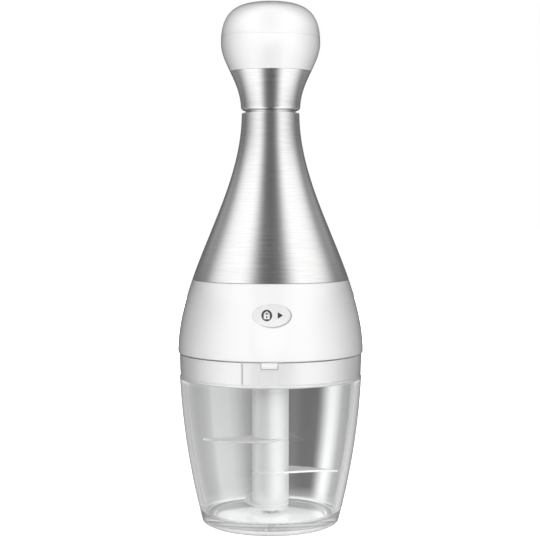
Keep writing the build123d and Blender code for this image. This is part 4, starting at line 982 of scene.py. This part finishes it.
# brightness of the strip reflector by angle from the front, either side, as the steel mirrors it:
# the upper steps light the sloping cone, the lower ones the neck and the knob; lengths in mm
reflector = {"radius": 3000, "bottomHole": 800, "low": -6000, "high": 7400, "turns": 180, "tilt": 0.15,
             "changeUp": (1050, 1350), "changeDown": (-2200, 900),
             "upper": [(0, 0.13), (15, 0.19), (24, 0.4), (35, 0.92), (42, 1.16), (48, 1.28), (80, 1.27), (90, 1.15),
                       (100, 0.9), (110, 0.52), (119, 0.35), (136, 0.43), (150, 0.35), (165, 0.18), (180, 0.1)],
             "lower": [(0, 0.17), (10, 0.19), (20, 0.37), (32, 0.82), (38, 0.98), (48, 1.08), (57, 1.0), (66, 0.86),
                       (76, 0.66), (84, 0.49), (93, 0.33), (104, 0.23), (120, 0.16), (142, 0.17), (160, 0.13),
                       (180, 0.08)]}

# grey shades round the clear bowl, in mm: a glowing tube seen only through the clear wall, whose greys are painted
# shade and painted reflection;
# what the bowl shows behind it, by angle from the middle of its back, and what the column mirrors, by angle from the
# front; right side positive
shades = {"gap": 1.5, "low": 2.0, "high": 76.6, "gain": (1.12, 0.98), "gainReach": (25.0, 76.0), "turns": 180,
          "rows": 24, "clearBelow": (2.5, 6.0), "clearAbove": (75.5, 74.0), "clearLevel": 0.95,
          "back": [(-90, 0.95), (-85, 0.72), (-79, 0.52), (-65, 0.47), (-57, 0.49), (-47, 0.6), (-39, 0.65),
                   (-31, 0.6), (-25, 0.49), (-18, 0.32), (-8, 0.2), (8, 0.18), (17, 0.15), (24, 0.06), (31, 0.03),
                   (35, 0.05), (38.5, 0.2), (42.6, 0.58), (46.8, 0.93), (51.4, 0.96), (56.5, 0.73), (62.2, 0.44),
                   (69.2, 0.39), (76, 0.42), (83, 0.55), (90, 0.75)],
          "front": [(-90, 0.7), (-72, 0.5), (-42, 0.2), (-16, 0.3), (8, 0.75), (28, 0.98), (50, 1.0), (70, 0.8),
                    (90, 0.6)]}


def rampByAngle(tree, steps, across, along):
    # grey by the angle in degrees that across and along make
    first, last = steps[0][0], steps[-1][0]
    share = rampBetween(tree, mathNode(tree, "ARCTAN2", across, along), 0, 1, math.radians(first), math.radians(last))
    ramp = addNode(tree, "ValToRGB", {0: share})
    elements = ramp.color_ramp.elements
    elements[1].position = 1
    for angle, level in steps[1:-1]:
        elements.new((angle - first) / (last - first))
    for element, (angle, level) in zip(sorted(elements, key=lambda e: e.position), steps):
        element.color = grey(level)
    return ramp.outputs[0]


def mixAlong(tree, source, start, end, first, second):
    # colour that changes from first to second between two values of source, in mm
    return mixColors(tree, rampBetween(tree, source, 0, 1, start * mm, end * mm), first, second)


def glowTube(name, rows, turns, paint, **seenBy):
    # open tube through (r, z) rows that glows and is seen only by some rays; paint links its colour
    verts = [(x, y, z) for r, z in rows for x, y in ovalPoints(0, 0, r, r, turns)]
    tube = meshFrom(name, verts, gridFaces(len(rows), turns, closeRows=False), sharp=60)
    mat, tree = emptyMaterial(name)
    glow = addNode(tree, "Emission", paint(tree, objectAxes(tree)))
    addNode(tree, "OutputMaterial", {"Surface": glow.outputs[0]})
    tube.data.materials.append(mat)
    for ray in ("camera", "diffuse", "glossy", "transmission", "shadow"):
        setattr(tube, "visible_" + ray, seenBy.get(ray, False))


def paintReflector(tree, axes):
    side, toFront = mathNode(tree, "ABSOLUTE", axes["X"]), mathNode(tree, "MULTIPLY", axes["Y"], -1)
    lower, upper = (rampByAngle(tree, reflector[key], side, toFront) for key in ("lower", "upper"))
    level = mixAlong(tree, axes["Z"], *reflector["changeDown"], upper, lower)
    tilted = mathNode(tree, "MULTIPLY_ADD", axes["Y"], reflector["tilt"], axes["Z"])
    return {"Color": mixAlong(tree, tilted, *reflector["changeUp"], level, upper)}


def paintShades(tree, axes):
    back = rampByAngle(tree, shades["back"], axes["X"], axes["Y"])
    front = rampByAngle(tree, shades["front"], axes["X"], mathNode(tree, "MULTIPLY", axes["Y"], -1))
    shade = mixAlong(tree, axes["Y"], -1, 1, front, back)
    for start, end in (shades["clearBelow"], shades["clearAbove"]):
        shade = mixAlong(tree, axes["Z"], start, end, grey(shades["clearLevel"]), shade)
    gain = rampBetween(tree, axes["Z"], *shades["gain"], *(z * mm for z in shades["gainReach"]))
    return {"Color": shade, "Strength": gain}


glowTube("stripReflector", [(reflector["bottomHole"], reflector["low"]), (reflector["radius"], reflector["low"]),
                            (reflector["radius"], reflector["high"])], reflector["turns"], paintReflector, glossy=True)
shadeLine = between(bowlWall(shades["rows"]), shades["low"], shades["high"])
glowTube("bowlShades", inset(shadeLine, -shades["gap"]), shades["turns"], paintShades, transmission=True)

view = {"distance": 0.744, "height": 0.175, "aside": -0.0003, "down": 2.4, "focal": 1407, "frame": 540, "raise": 18.4,
        "sensor": 36}


def buildCamera():
    data = bpy.data.cameras.new("camera")
    data.sensor_width = view["sensor"]
    data.lens = view["sensor"] * view["focal"] / view["frame"]
    data.shift_y = -view["raise"] / view["frame"]
    camera = addObject("camera", data)
    camera.location = (view["aside"], -view["distance"], view["height"])
    camera.rotation_euler = (math.radians(90 - view["down"]), 0, 0)
    bpy.context.scene.camera = camera


buildCamera()
bpy.context.scene.view_settings.view_transform = "Standard"
print("stage and camera ready")
